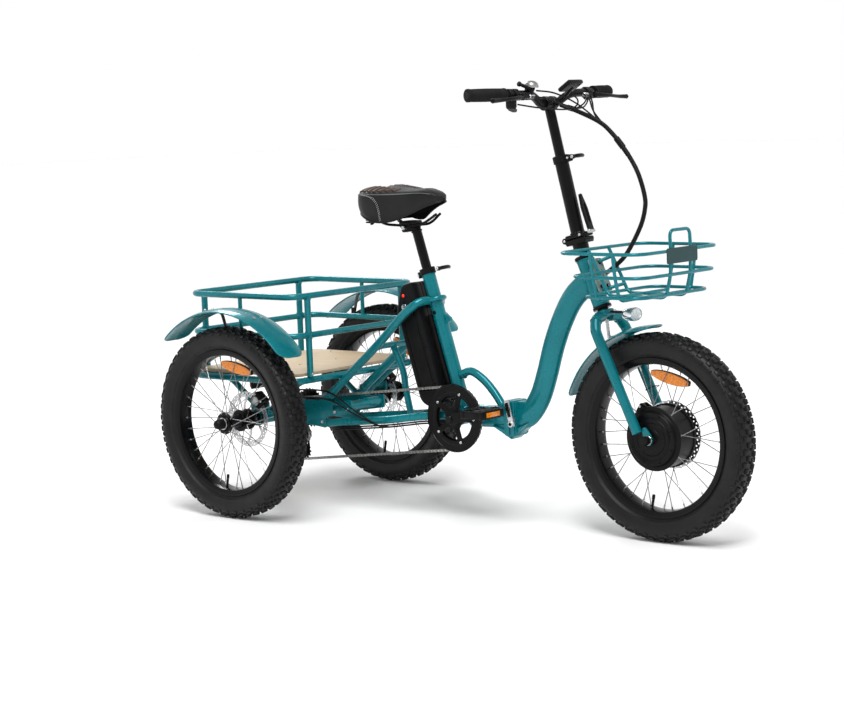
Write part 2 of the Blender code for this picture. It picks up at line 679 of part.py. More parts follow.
def arched_fender(name, centre_x, centre_y, radius, half_width, first, last, drop, steps):
    """A curved sheet round a wheel, whose edges turn down a little."""
    section = [
        (-half_width, -drop), (-half_width * 0.62, -0.001), (0.0, 0.0), (half_width * 0.62, -0.001),
        (half_width, -drop)
    ]
    thickness = FENDER_SHEET
    ring = [(across, radius + lift) for across, lift in section]
    ring += [(across, radius + lift - thickness) for across, lift in reversed(section)]
    work = bmesh.new()
    rows = []
    for step in range(steps + 1):
        turn = math.radians(first + (last - first) * step / steps)
        pinch = 1.0 - 0.35 * max(0.0, abs(2 * step / steps - 1) - 0.82) / 0.18
        row = [
            work.verts.new(
                (centre_x + r * math.cos(turn), centre_y + a * pinch, AXLE_Z + r * math.sin(turn))
            )
            for a, r in ring
        ]
        rows.append(row)
    count = len(ring)
    for row, following in zip(rows, rows[1:]):
        for i in range(count):
            work.faces.new((row[i], row[(i + 1) % count], following[(i + 1) % count], following[i]))
    work.faces.new(rows[0])
    work.faces.new(rows[-1])
    return add_bmesh(name, work, "teal_paint")


def build_fender(side_name):
    side = SIDES[side_name]
    y = HALF_TRACK * side
    fender = arched_fender(f"fender_{side_name}", 0.0, y, FENDER_RADIUS, 0.0475, 38, 136, 0.007, 14)
    brackets = []
    for i, x in enumerate((-0.075, 0.120)):
        top = math.sqrt((FENDER_RADIUS - 0.004) ** 2 - x**2) + AXLE_Z
        arm = [
            (x, 0.2725 * side, BASKET_MID_Z), (x, 0.292 * side, BASKET_MID_Z + 0.008),
            (x, 0.300 * side, top - 0.012), (x, 0.318 * side, top)
        ]
        brackets.append(
            tube(f"fender_stay_{side_name}_{i}_guide", arm, 0.0045, "black_satin", resolution=1)
        )
    return combine(fender, *brackets)


def build_caliper(name, disc, radial, turn, y_inner, y_outer, slot_radius):
    """A disc brake caliper on the rotor's edge: a block with a slot that the rotor runs through."""
    disc_x, disc_y = disc
    placement = at(disc_x, 0, AXLE_Z) @ Matrix.Rotation(-turn, 4, "Y")
    middle = (y_inner + y_outer) / 2
    body = block(
        name, (0.034, abs(y_outer - y_inner), 0.044), placement @ at(radial, middle, 0), "black_satin",
        0.004
    )
    slot_length = 0.080
    slot_place = placement @ at(slot_radius - slot_length / 2, disc_y, 0)
    slot = block(name + "_slot_guide", (slot_length, 0.0050, 0.060), slot_place, "black_satin")
    return cut(body, slot)


def chain_route():
    """The chain's centre line: chainring, rear sprocket and the two pulleys of the derailleur."""
    wheels = [
        (BB_X, BB_Z, CHAIN_RING_PITCH, 1),
        (0.0, AXLE_Z, SPROCKET_PITCH, 1),
        (GUIDE_PULLEY[0], GUIDE_PULLEY[1], PULLEY_PITCH, -1),
        (TENSION_PULLEY[0], TENSION_PULLEY[1], PULLEY_PITCH, 1),
    ]
    touches = []
    for i, (x1, z1, r1, s1) in enumerate(wheels):
        x2, z2, r2, s2 = wheels[(i + 1) % len(wheels)]
        span = math.hypot(x2 - x1, z2 - z1)
        heading = math.atan2(z2 - z1, x2 - x1)
        lean = math.asin((s1 * r1 - s2 * r2) / span)
        normal = heading - math.pi / 2 + lean
        touches.append((normal, x1, z1, s1 * r1, x2, z2, s2 * r2))
    route = []
    for i, (normal, x1, z1, r1, x2, z2, r2) in enumerate(touches):
        route.append(Vector((x1 + r1 * math.cos(normal), CHAIN_Y, z1 + r1 * math.sin(normal))))
        route.append(Vector((x2 + r2 * math.cos(normal), CHAIN_Y, z2 + r2 * math.sin(normal))))
        following = touches[(i + 1) % len(touches)][0]
        turn_by = (following - normal) % (2 * math.pi)
        if r2 < 0:
            turn_by -= 2 * math.pi
        steps = max(2, round(abs(turn_by) / 0.26))
        for step in range(1, steps):
            turn = normal + turn_by * step / steps
            route.append(Vector((x2 + r2 * math.cos(turn), CHAIN_Y, z2 + r2 * math.sin(turn))))
    return route


def build_drive():
    """The chain, the derailleur that hangs from the right plate, and the sprockets."""
    profile = oval_profile("chain_section", 0.0035, 0.0034, 4, 8.0)
    chain = tube("chain", chain_route(), 0, "steel", cyclic=True, profile=profile)
    along = Vector((TENSION_PULLEY[0] - GUIDE_PULLEY[0], TENSION_PULLEY[1] - GUIDE_PULLEY[1], 0)).normalized()
    across = Vector((-along.y, along.x, 0)) * 0.009
    first = Vector((*GUIDE_PULLEY, 0)) - along * 0.008
    last = Vector((*TENSION_PULLEY, 0)) + along * 0.008
    corners = ((first, across), (last, across), (last, -across), (first, -across))
    outline = [tuple((p + q)[:2]) for p, q in corners]
    cage = plate("derailleur", [outline], 0.0024, upright(0, CHAIN_Y - 0.0060, 0), "black_satin")
    pulleys = [
        rod(
            f"pulley_{i}_guide", (x, CHAIN_Y - 0.0060, z), (x, CHAIN_Y + 0.0025, z), PULLEY_RADIUS,
            "black_plastic", 12
        )
        for i, (x, z) in enumerate((GUIDE_PULLEY, TENSION_PULLEY))
    ]
    knuckle = block(
        "knuckle_guide", (0.030, 0.013, 0.034), at(-0.004, CHAIN_Y - 0.0125, 0.2170), "black_satin", 0.003
    )
    derailleur = combine(cage, *pulleys, knuckle)
    return [chain, derailleur]


def build_cassette():
    """Seven sprockets on one carrier, the smallest outboard under the chain."""
    body = pivot("cassette_pivot", (0.0, CHAIN_Y, AXLE_Z))
    teeth = (14, 16, 18, 20, 22, 24, 28)
    profile = [(0.0128, 0.0)]
    for i, count in enumerate(teeth):
        radius = count * 0.0127 / (2 * math.pi) - 0.0005
        profile += [(radius, 0.0052 * i), (radius, 0.0052 * i + 0.0018)]
        if i < len(teeth) - 1:
            profile += [(0.0230, 0.0052 * i + 0.0018), (0.0230, 0.0052 * (i + 1))]
    profile.append((0.0128, 0.0052 * 6 + 0.0018))
    cassette = lathe("cassette", profile, frame_at((0, CHAIN_Y - 0.0009, AXLE_Z), (0, 1, 0)), "steel", 14)
    carry(body, cassette)
    return body


def build_tail_light():
    """A small red lamp under the rear edge of the deck frame."""
    lamp = block("tail_light", (0.018, 0.060, 0.028), at(-0.236, 0, 0.3300), "red_lens", 0.004)
    arm = rod("tail_light_arm_guide", (-0.234, 0, 0.3400), (-0.234, 0, 0.3755), 0.0040, "black_satin", 8)
    return combine(lamp, arm)


# ---------------------------------------------------------------- crankset and pedals
CRANK_FORWARD = Vector((math.cos(CRANK_ANGLE), 0.0, math.sin(CRANK_ANGLE)))


def crank_arm(name, side, direction):
    """A tapered forging from the spindle to the pedal's axle."""
    y = 0.0725 * side
    outline = []
    for turn in spread(math.radians(90), math.radians(270), 7):
        outline.append((0.0165 * math.cos(turn), 0.0165 * math.sin(turn)))
    for turn in spread(math.radians(-90), math.radians(90), 7):
        outline.append((CRANK_LENGTH + 0.0125 * math.cos(turn), 0.0125 * math.sin(turn)))
    up = Vector((-direction.z, 0, direction.x))
    turn = Matrix((direction, up, direction.cross(up))).transposed().to_4x4()
    placement = Matrix.Translation((BB_X, y, BB_Z)) @ turn
    return plate(name, [outline], 0.0130, placement, "black_satin")


def build_crankset():
    body = pivot("crank_pivot", (BB_X, 0.0, BB_Z))
    arms = rod("crank_arms", (BB_X, -0.072, BB_Z), (BB_X, 0.072, BB_Z), 0.0092, "black_satin", 12)
    welded = [crank_arm(f"arm_{name}_guide", side, CRANK_FORWARD * -side) for name, side in SIDES.items()]
    for name, side in SIDES.items():
        end = Vector((BB_X, 0, BB_Z)) + CRANK_FORWARD * CRANK_LENGTH * -side
        inner = (end.x, 0.072 * side, end.z)
        outer = (end.x, (PEDAL_Y + 0.040) * side, end.z)
        welded.append(rod(f"pedal_axle_{name}_guide", inner, outer, 0.0060, "steel", 10))
    combine(arms, *welded)
    windows = []
    for arm in range(5):
        first = CRANK_ANGLE + 2 * math.pi * (arm + 0.20) / 5
        last = CRANK_ANGLE + 2 * math.pi * (arm + 0.80) / 5
        window = [(0.060 * math.cos(t), 0.060 * math.sin(t)) for t in spread(first, last, 5)]
        window += [(0.030 * math.cos(t), 0.030 * math.sin(t)) for t in spread(last, first, 3)]
        windows.append(window)
    ring_outlines = [circle(CHAINRING_RADIUS, 28), list(reversed(circle(0.0100, 12))), *windows]
    chainring = plate("chainring", ring_outlines, 0.0022, upright(BB_X, CHAIN_Y, BB_Z), "black_satin")
    guard_outlines = [circle(GUARD_RADIUS, 28), list(reversed(circle(0.0640, 20)))]
    guard = plate(
        "guard_guide", guard_outlines, 0.0030, upright(BB_X, CHAIN_Y - 0.0085, BB_Z), "black_plastic"
    )
    bosses = []
    for arm in range(5):
        turn = CRANK_ANGLE + 2 * math.pi * arm / 5
        place = Vector((BB_X + 0.070 * math.cos(turn), 0, BB_Z + 0.070 * math.sin(turn)))
        bosses.append(
            rod(
                f"boss_{arm}_guide", (place.x, CHAIN_Y, place.z), (place.x, CHAIN_Y - 0.0085, place.z),
                0.0050, "black_satin", 8
            )
        )
    hub = rod(
        "spider_hub_guide", (BB_X, CHAIN_Y + 0.004, BB_Z), (BB_X, -0.0650, BB_Z), 0.0210, "black_satin",
        16, 0.0100
    )
    combine(chainring, guard, *bosses, hub, solver="MANIFOLD")
    carry(body, arms, chainring)
    for name, side in SIDES.items():
        end = Vector((BB_X, PEDAL_Y * side, BB_Z)) + CRANK_FORWARD * CRANK_LENGTH * -side
        pedal_body = pivot(f"pedal_{name}_pivot", end)
        carry(body, pedal_body)
        pedal = block(
            f"pedal_{name}", (0.076, 0.095, 0.024), Matrix.Translation(end), "black_plastic", 0.004
        )
        bore = rod(
            f"pedal_bore_{name}_guide", end - Vector((0, 0.06, 0)), end + Vector((0, 0.06, 0)), 0.0072,
            "steel", 12
        )
        carry(pedal_body, cut(pedal, bore))
    return body


# ---------------------------------------------------------------- battery, seat
def build_battery():
    body = pivot("battery_pivot", on_seat_line(0.2, 0.07))
    outline = [
        (0.0345, 0.052), (0.095, 0.052), (0.1155, 0.076), (0.1155, 0.338), (0.074, 0.402), (0.0345, 0.402)
    ]
    turn = Matrix((SEAT_BACK, SEAT_UP, SEAT_BACK.cross(SEAT_UP))).transposed()
    placement = Matrix.Translation(BOTTOM_BRACKET) @ turn.to_4x4()
    battery = plate("battery", [outline], 0.088, placement, "black_plastic")
    soften = battery.modifiers.new("soften", "BEVEL")
    soften.width = 0.008
    soften.segments = 2
    soften.limit_method = "ANGLE"
    carry(body, battery)
    return body


def build_seat():
    body = pivot("seat_post_pivot", on_seat_line(SEAT_TUBE_END))
    post = rod("seat_post", on_seat_line(0.200), on_seat_line(0.546), SEAT_POST_RADIUS, "black_satin", 12)
    head = block("post_head_guide", (0.044, 0.036, 0.022), at(0.402, 0, 0.8070), "black_satin", 0.005)
    rails = []
    for side in (-1, 1):
        knots = [
            (0.505, 0.008 * side, 0.846), (0.465, 0.016 * side, 0.822), (0.430, 0.0215 * side, 0.815)
        ]
        knots += [
            (0.370, 0.0215 * side, 0.815), (0.335, 0.034 * side, 0.820), (0.315, 0.050 * side, 0.826)
        ]
        rails.append(tube(f"rail_{side}_guide", knots, 0.0040, "black_satin", resolution=1))
    clamp = block("rail_clamp_guide", (0.040, 0.056, 0.020), at(0.402, 0, 0.8160), "black_satin", 0.003)
    combine(post, head, clamp, *rails)
    saddle = build_saddle()
    carry(body, post, saddle)
    lever_body = pivot("seat_lever_pivot", on_seat_line(SEAT_TUBE_END - 0.008, -0.040))
    lever_path = [
        on_seat_line(SEAT_TUBE_END - 0.008, -0.0395, -0.004),
        on_seat_line(SEAT_TUBE_END - 0.007, -0.0430, 0.020)
    ]
    lever_path += [
        on_seat_line(SEAT_TUBE_END - 0.006, -0.0400, 0.045),
        on_seat_line(SEAT_TUBE_END - 0.006, -0.0280, 0.062)
    ]
    lever = tube("seat_clamp_lever", lever_path, 0.0048, "black_satin", resolution=1)
    carry(lever_body, lever)
    return [body, lever_body]


def build_saddle():
    """A wide sprung saddle: a nose that widens into two crowned rear lobes with deep skirts."""
    rear, nose = 0.270, 0.528
    stations = 13
    around = 14
    work = bmesh.new()
    rows = []
    for i in range(stations):
        t = i / (stations - 1)
        x = rear + 0.004 + (nose - rear - 0.008) * t
        ends = math.sqrt(max(0.0, 1 - (2 * t - 1) ** 8))
        width = (0.021 + 0.088 / (1 + math.exp((t - 0.52) * 11))) * (0.30 + 0.70 * ends)
        top = 0.9230 - 0.012 * t - 0.020 * (1 - ends) - 0.006 * math.sin(math.pi * t)
        bottom = 0.8400 + 0.018 * t**2 + 0.006 * (1 - t) + 0.022 * (1 - ends)
        row = []
        for j in range(around):
            turn = 2 * math.pi * (j + 0.5) / around
            across = math.copysign(abs(math.cos(turn)) ** 0.72, math.cos(turn)) * width
            lift = math.copysign(abs(math.sin(turn)) ** 0.80, math.sin(turn))
            middle, half = (top + bottom) / 2, (top - bottom) / 2
            row.append(work.verts.new((x, across, middle + half * lift)))
        rows.append(row)
    for row, following in zip(rows, rows[1:]):
        for j in range(around):
            work.faces.new((row[j], row[(j + 1) % around], following[(j + 1) % around], following[j]))
    work.faces.new(rows[0])
    work.faces.new(rows[-1])
    return add_bmesh("saddle", work, "saddle_vinyl")


# ---------------------------------------------------------------- front frame
def build_front_frame():
    """The head tube, and the curved down tube with the front half of the folding hinge."""
    half = HEAD_LENGTH / 2
    cup_start = half - 0.009
    profile = [
        (HEAD_BORE, 0.0), (0.0255, 0.0), (0.0255, half - cup_start), (HEAD_RADIUS, half - cup_start)
    ]
    profile += [(radius, HEAD_LENGTH - up) for radius, up in reversed(profile)]
    head_tube = lathe("head_tube", profile, frame_at(on_head_line(-half), STEERING_UP), "teal_paint", 20)
    section = oval_profile("down_tube_section", 0.0210, 0.0325)
    knots = [
        (0.768, 0, 0.290), (0.805, 0, 0.305), (0.842, 0, 0.352), (0.868, 0, 0.415), (0.896, 0, 0.500)
    ]
    knots += [(0.930, 0, 0.575), (0.968, 0, 0.632), (1.020, 0, 0.674)]
    down_tube = tube("down_tube", smooth_route(knots, 2), 0, "teal_paint", profile=section)
    hinge_size = (0.016, 0.062, FOLD_TOP - FOLD_BOTTOM)
    hinge = block(
        "front_hinge_guide", hinge_size, at(FOLD_X + 0.0085, 0, FOLD_MIDDLE), "teal_paint", 0.004
    )
    knuckle = fold_knuckle("front_knuckle_guide", *FRONT_KNUCKLE, KNUCKLE_RADIUS)
    combine(down_tube, hinge, knuckle)
    rooms = [
        fold_knuckle(f"rear_knuckle_room_{i}_guide", low - GAP, high + GAP, KNUCKLE_CLEARANCE)
        for i, (low, high) in enumerate(REAR_KNUCKLES)
    ]
    head_room = rod(
        "head_room_guide", on_head_line(-half), on_head_line(half), HEAD_RADIUS + GAP, "teal_paint", 20
    )
    cut(down_tube, head_room, *rooms)
    return [head_tube, down_tube]


def build_fold_latch():
    body = pivot("fold_latch_pivot", (FOLD_X + 0.013, -0.040, 0.2800))
    lean = math.atan2(0.020, 0.064)
    placement = at(FOLD_X + 0.0035, -0.0405, 0.3110) @ Matrix.Rotation(-lean, 4, "Y")
    lever = block("fold_latch", (0.018, 0.008, 0.072), placement, "steel", 0.003)
    carry(body, lever)
    return body


def build_front_basket():
    """The wire basket on the head tube, with its front badge plate and the grey mounting plate."""
    loops = [(1.048, 1.305, 0.187, 0.760), (1.080, 1.303, 0.178, 0.700), (1.105, 1.290, 0.162, 0.648)]
    wires = []
    for i, (rear, front, half_y, z) in enumerate(loops):
        ring = rounded_loop(rear, front, half_y, z, 0.045, 2)
        name = "front_basket" if i == 0 else f"basket_loop_{i}_guide"
        wires.append(tube(name, ring, WIRE_RADIUS, "teal_paint", resolution=0, cyclic=True))
    basket, *others = wires
    floor = 0.6405
    for i, x in enumerate((1.157, 1.226)):
        half = [(x, 0.187, 0.760), (x, 0.178, 0.700), (x, 0.163, 0.650), (x, 0.150, floor)]
        route = half + [(px, -py, pz) for px, py, pz in reversed(half)]
        others.append(tube(f"basket_hoop_{i}_guide", route, WIRE_RADIUS, "teal_paint", resolution=0))
    for i, y in enumerate((-0.045, 0.045)):
        route = [
            (1.048, y, 0.760), (1.080, y, 0.700), (1.105, y, 0.650), (1.116, y, floor), (1.278, y, floor)
        ]
        route += [(1.290, y, 0.648), (1.303, y, 0.700), (1.305, y, 0.760)]
        others.append(tube(f"basket_rib_{i}_guide", route, WIRE_RADIUS, "teal_paint", resolution=0))
    handle = [(1.305, -0.045, 0.758), (1.303, -0.045, 0.798), (1.303, -0.032, 0.812)]
    handle += [(x, -y, z) for x, y, z in reversed(handle)]
    others.append(tube("basket_handle_guide", handle, WIRE_RADIUS, "teal_paint", resolution=0))
    others.append(block("badge_guide", (0.003, 0.138, 0.040), at(1.3095, 0, 0.748), "dark_teal_paint"))
    mount_place = frame_at(on_head_line(0.004, 0.0290), STEERING_UP)
    mount = block("mount_guide", (0.004, 0.044, 0.116), mount_place, "grey_plate", 0.001)
    arms = [((0.046, 0.029), (1.062, 0.737)), ((-0.030, 0.029), (1.098, 0.665))]
    for i, ((up, front), (x, z)) in enumerate(arms):
        for name, side in SIDES.items():
            start = on_head_line(up, front, 0.014 * side)
            others.append(
                rod(f"basket_arm_{i}_{name}_guide", start, (x, 0.045 * side, z), 0.0050, "grey_plate", 8)
            )
    return combine(basket, mount, *others)


# ---------------------------------------------------------------- fork
def build_fork(body):
    """The steerer, crown, two blades, dropouts and the fixed axle of the hub motor."""
    fork = rod("fork", on_head_line(-0.090), on_head_line(0.0775), STEERER_RADIUS, "teal_paint", 16)
    crown_place = frame_at(on_head_line(-0.0890), STEERING_UP)
    welded = [block("crown_guide", (0.040, 0.052, 0.022), crown_place, "teal_paint", 0.004)]
    for name, side in SIDES.items():
        knots = [
            (1.0655, 0.018, 0.5815), (1.070, 0.046, 0.5765), (1.078, 0.062, 0.556),
            (1.088, BLADE_Y, 0.535)
        ]
        route = smooth_route([mirrored(k, side) for k in knots], 3)
        route.append(mirrored(BLADE_END, side))
        welded.append(tube(f"blade_{name}_guide", route, 0.0145, "teal_paint"))
        welded.append(dropout(f"dropout_{name}_guide", 0.0590 * side))
    axle = rod(
        "motor_axle_guide", (WHEELBASE, -0.084, AXLE_Z), (WHEELBASE, 0.084, AXLE_Z), 0.0072, "steel", 12
    )
    nuts = [
        rod(
            f"axle_nut_{name}_guide", (WHEELBASE, 0.061 * side, AXLE_Z),
            (WHEELBASE, 0.074 * side, AXLE_Z), 0.0125, "steel", 6
        )
        for name, side in SIDES.items()
    ]
    combine(fork, *welded, axle, *nuts)
    carry(body, fork)


def dropout(name, y):
    """The flat end of a fork blade, round the axle."""
    along = Vector((WHEELBASE - 1.088, AXLE_Z - 0.535)).normalized()
    across = Vector((-along.y, along.x))
    root = Vector((BLADE_END.x, BLADE_END.z)) - along * 0.040
    axle = Vector((WHEELBASE, AXLE_Z))
    outline = [tuple(root - across * 0.0095), tuple(root + across * 0.0095)]
    first = math.atan2(across.y, across.x)
    for turn in spread(first, first - math.pi, 7):
        outline.append((axle.x + 0.0150 * math.cos(turn), axle.y + 0.0150 * math.sin(turn)))
    return plate(name, [outline], 0.006, upright(0, y, 0), "teal_paint")


def build_fork_fittings(body):
    fender = arched_fender("front_fender", WHEELBASE, 0.0, FRONT_FENDER_RADIUS, 0.042, 88, 158, 0.008, 12)
    fender_stay = rod(
        "front_fender_stay_guide", (1.0765, 0, 0.518), (1.0692, 0, 0.5745), 0.0045, "steel", 8
    )
    combine(fender, fender_stay)
    lamp = block("headlight", (0.040, 0.055, 0.034), at(1.147, 0, 0.590), "lamp_lens", 0.009, 2)
    lamp_arm = rod("lamp_arm_guide", (1.0850, 0, 0.5965), (1.132, 0, 0.590), 0.0050, "black_satin", 8)
    combine(lamp, lamp_arm)
    disc = (WHEELBASE, FRONT_ROTOR_Y)
    caliper = build_caliper("brake_caliper_front", disc, 0.1040, math.radians(150), 0.038, 0.074, 0.0930)
    carry(body, fender, lamp, caliper)


# ---------------------------------------------------------------- stem and handlebar
def stem_barrel(name, near, far, radius):
    """A barrel round the stem hinge's cross pin, on one side of the middle or through it."""
    return rod(
        name, on_stem_line(0, -STEM_PIN_BACK, near), on_stem_line(0, -STEM_PIN_BACK, far), radius,
        "black_satin", 16
    )


def build_stem_base(body):
    base = rod("stem_base", on_head_line(0.0808), on_stem_line(-0.002), 0.0215, "black_satin", 16)
    flange = block("base_flange_guide", (0.068, 0.044, 0.012), stem_frame(-0.0065), "black_satin", 0.003)
    barrels = [
        stem_barrel(f"base_barrel_{name}_guide", 0.0086 * side, 0.0205 * side, STEM_BARREL_RADIUS)
        for name, side in SIDES.items()
    ]
    combine(base, flange, *barrels)
    room = stem_barrel("stem_barrel_room_guide", -0.0085, 0.0085, STEM_BARREL_RADIUS + 0.0007)
    carry(body, cut(base, room))


def stem_frame(up, front=0.0):
    return frame_at(on_stem_line(up, front), STEM_UP)


def build_stem(body):
    """The folding lower stem: a tube on a flange, with the clamp at its top."""
    stem = rod(
        "stem_tube", on_stem_line(0.006), on_stem_line(STEM_LOWER_LENGTH), STEM_LOWER_RADIUS,
        "black_satin", 16
    )
    flange = block(
        "stem_flange_guide", (0.064, 0.044, 0.012), stem_frame(0.0065, 0.002), "black_satin", 0.003
    )
    lug = block(
        "latch_lug_guide", (0.010, 0.012, 0.012), stem_frame(0.0100, 0.0325), "black_satin", 0.001
    )
    barrel = stem_barrel("stem_barrel_guide", -0.0080, 0.0080, STEM_BARREL_RADIUS)
    clamp = rod("stem_clamp_guide", on_stem_line(0.198), on_stem_line(0.224), 0.0218, "black_satin", 16)
    ears = block("stem_ears_guide", (0.016, 0.018, 0.018), stem_frame(0.211, 0.026), "black_satin", 0.002)
    combine(stem, flange, lug, barrel, clamp, ears, solver="MANIFOLD")
    rooms = [
        stem_barrel(
            f"base_barrel_room_{name}_guide", 0.0082 * side, 0.0240 * side, STEM_BARREL_RADIUS + 0.0007
        )
        for name, side in SIDES.items()
    ]
    bore = rod("stem_bore_guide", on_stem_line(0.016), on_stem_line(0.240), STEM_BORE, "black_satin", 16)
    cut(stem, bore, *rooms, solver="MANIFOLD")
    carry(body, stem)
    latch_body = pivot("stem_latch_pivot", on_stem_line(0.010, 0.044))
    carry(body, latch_body)
    lean = math.atan2(0.010, 0.100)
    latch_place = stem_frame(0.058, 0.0395) @ Matrix.Rotation(-lean, 4, "Y")
    carry(latch_body, block("stem_latch", (0.008, 0.020, 0.104), latch_place, "black_satin", 0.003))
    lever_body = pivot("stem_lever_pivot", on_stem_line(0.211, 0.0395))
    carry(body, lever_body)
    route = [on_stem_line(0.211, 0.0395, -0.004), on_stem_line(0.212, 0.0430, 0.018)]
    route += [on_stem_line(0.213, 0.0400, 0.042), on_stem_line(0.213, 0.0290, 0.058)]
    carry(lever_body, tube("stem_clamp_lever", route, 0.0046, "black_satin", resolution=1))


def build_handlebar(body):
    """The sliding upper stem with the bar, the lever perches, the gear shifter and the bell."""
    upper = rod("handlebar", on_stem_line(0.100), BAR_CENTRE, STEM_UPPER_RADIUS, "black_satin", 16)
    half = [
        (0.8985, 0.012, 1.1400), (0.8985, 0.036, 1.1405), (0.9040, 0.066, 1.1560), (0.9080, 0.095, 1.1640)
    ]
    half += [
        (0.9075, 0.145, 1.1655), tuple(GRIP_INNER), tuple(GRIP_OUTER - (GRIP_OUTER - GRIP_INNER) * 0.02)
    ]
    route = [(x, -y, z) for x, y, z in reversed(half)] + half
    bar = tube("bar_guide", route, BAR_RADIUS, "black_satin", resolution=2)
    clamp = rod(
        "bar_clamp_guide", (0.8985, -0.024, 1.140), (0.8985, 0.024, 1.140), 0.0190, "black_satin", 16
    )
    perches = [
        block(
            f"perch_{name}_guide", (0.030, 0.020, 0.022), at(0.9135, 0.156 * side, 1.161), "black_satin",
            0.003
        )
        for name, side in SIDES.items()
    ]
    shifter = block(
        "shifter_guide", (0.028, 0.022, 0.034), at(0.912, -0.176, 1.1440), "black_plastic", 0.004
    )
    bell_post = rod(
        "bell_post_guide", (0.911, -0.100, 1.160), (0.920, -0.100, 1.1900), 0.0060, "black_plastic", 8
    )
    dome = [(0.0, 0.0), (0.0175, 0.0), (0.0165, 0.0060), (0.0110, 0.0110), (0.0, 0.0130)]
    bell = lathe("bell_guide", dome, at(0.922, -0.100, 1.186), "steel", 16)
    combine(upper, bar, clamp, *perches, shifter, bell_post, bell)
    grips = [
        rod(
            f"grip_{name}", mirrored(GRIP_INNER, side), mirrored(GRIP_OUTER, side), 0.0172, "grip_rubber",
            16, 0.0117
        )
        for name, side in SIDES.items()
    ]
    display_place = at(0.950, 0.036, 1.183) @ Matrix.Rotation(math.radians(32), 4, "Y")
    display = block("display", (0.014, 0.064, 0.046), display_place, "black_plastic", 0.003)
    display_arm = rod(
        "display_arm_guide", (0.9190, 0.050, 1.1590), (0.945, 0.042, 1.1780), 0.0050, "black_plastic", 8
    )
    combine(display, display_arm)
    carry(body, upper, *grips, display)
    for name, side in SIDES.items():
        lever_body = pivot(f"brake_lever_{name}_pivot", (0.936, 0.163 * side, 1.158))
        carry(body, lever_body)
        knots = [
            (0.936, 0.160, 1.158), (0.944, 0.185, 1.157), (0.947, 0.215, 1.155), (0.943, 0.258, 1.152)
        ]
        knots.append((0.944, 0.292, 1.151))
        blade = tube(
            f"brake_lever_{name}", [mirrored(k, side) for k in knots], 0.0055, "black_satin", resolution=1
        )
        carry(lever_body, blade)


def build_cables(upper_body, lower_body):
    """The loom from the handlebar to the head tube, in two pieces that meet at its connector."""
    knots = [
        (0.9235, 0.018, 1.1350), (0.9600, 0.040, 1.1180), (1.0200, 0.058, 1.0870), (1.0600, 0.060, 1.0550)
    ]
    knots += [(1.1050, 0.058, 1.0060), (1.1400, 0.055, 0.9550), (1.1620, 0.055, 0.8960)]
    upper = tube("cable_bundle_upper", smooth_route(knots, 3), 0.0048, "cable_black", resolution=1)
    knots = [
        (1.1635, 0.044, 0.8920), (1.1660, 0.0435, 0.8640), (1.1550, 0.038, 0.8110),
        (1.1150, 0.030, 0.7420)
    ]
    knots += [(1.0680, 0.0290, 0.7030), (1.0370, 0.0290, 0.6860)]
    lower = tube("cable_bundle_lower", smooth_route(knots, 3), 0.0048, "cable_black", resolution=1)
    carry(upper_body, upper)
    carry(lower_body, lower)


# ---------------------------------------------------------------- assembly
def build():
    clear_scene()
    root = pivot("rear_frame", (0, 0, 0))
    main_pieces = [
        build_seat_tube(), build_main_tube(), build_axle_carrier(), *build_rack(), *build_drive()
    ]
    rear_disc = 0.0760
    for name, side in SIDES.items():
        main_pieces += build_stays(name)
        main_pieces.append(build_fender(name))
        reach = (ROTOR_Y - 0.0200) * side, (ROTOR_Y + 0.0140) * side
        disc = (0.0, ROTOR_Y * side)
        main_pieces.append(
            build_caliper(f"brake_caliper_{name}", disc, rear_disc, math.radians(50), *reach, 0.0840)
        )
        carry(root, build_rear_wheel(name))
    main_pieces.append(build_tail_light())
    carry(root, *main_pieces, build_crankset(), build_cassette(), build_battery(), *build_seat())
    front = pivot("front_frame", (FOLD_X, FOLD_PIN_Y, FOLD_MIDDLE))
    steered = pivot("fork_pivot", HEAD_MIDDLE)
    stem = pivot("stem_pivot", on_stem_line(0, -STEM_PIN_BACK))
    bar = pivot("handlebar_pivot", BAR_CENTRE)
    carry(front, *build_front_frame(), build_front_basket(), build_fold_latch())
    build_fork(steered)
    build_fork_fittings(steered)
    build_front_wheel(steered)
    build_stem_base(steered)
    build_stem(stem)
    build_handlebar(bar)
    build_cables(bar, front)
    carry(stem, bar)
    carry(steered, stem)
    carry(front, steered)
    carry(root, front)
    root.location.x = -WHEELBASE / 2


build()
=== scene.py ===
"""Looks of the folding electric cargo tricycle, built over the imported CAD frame.

Metres, +X forward, +Y to the rider's left, +Z up. Shapes are laid out from the rear axle, and Shape.make
moves them to the frame's origin, which is midway between the axles.
"""

import math

import bmesh
import bpy
from mathutils import Matrix, Vector


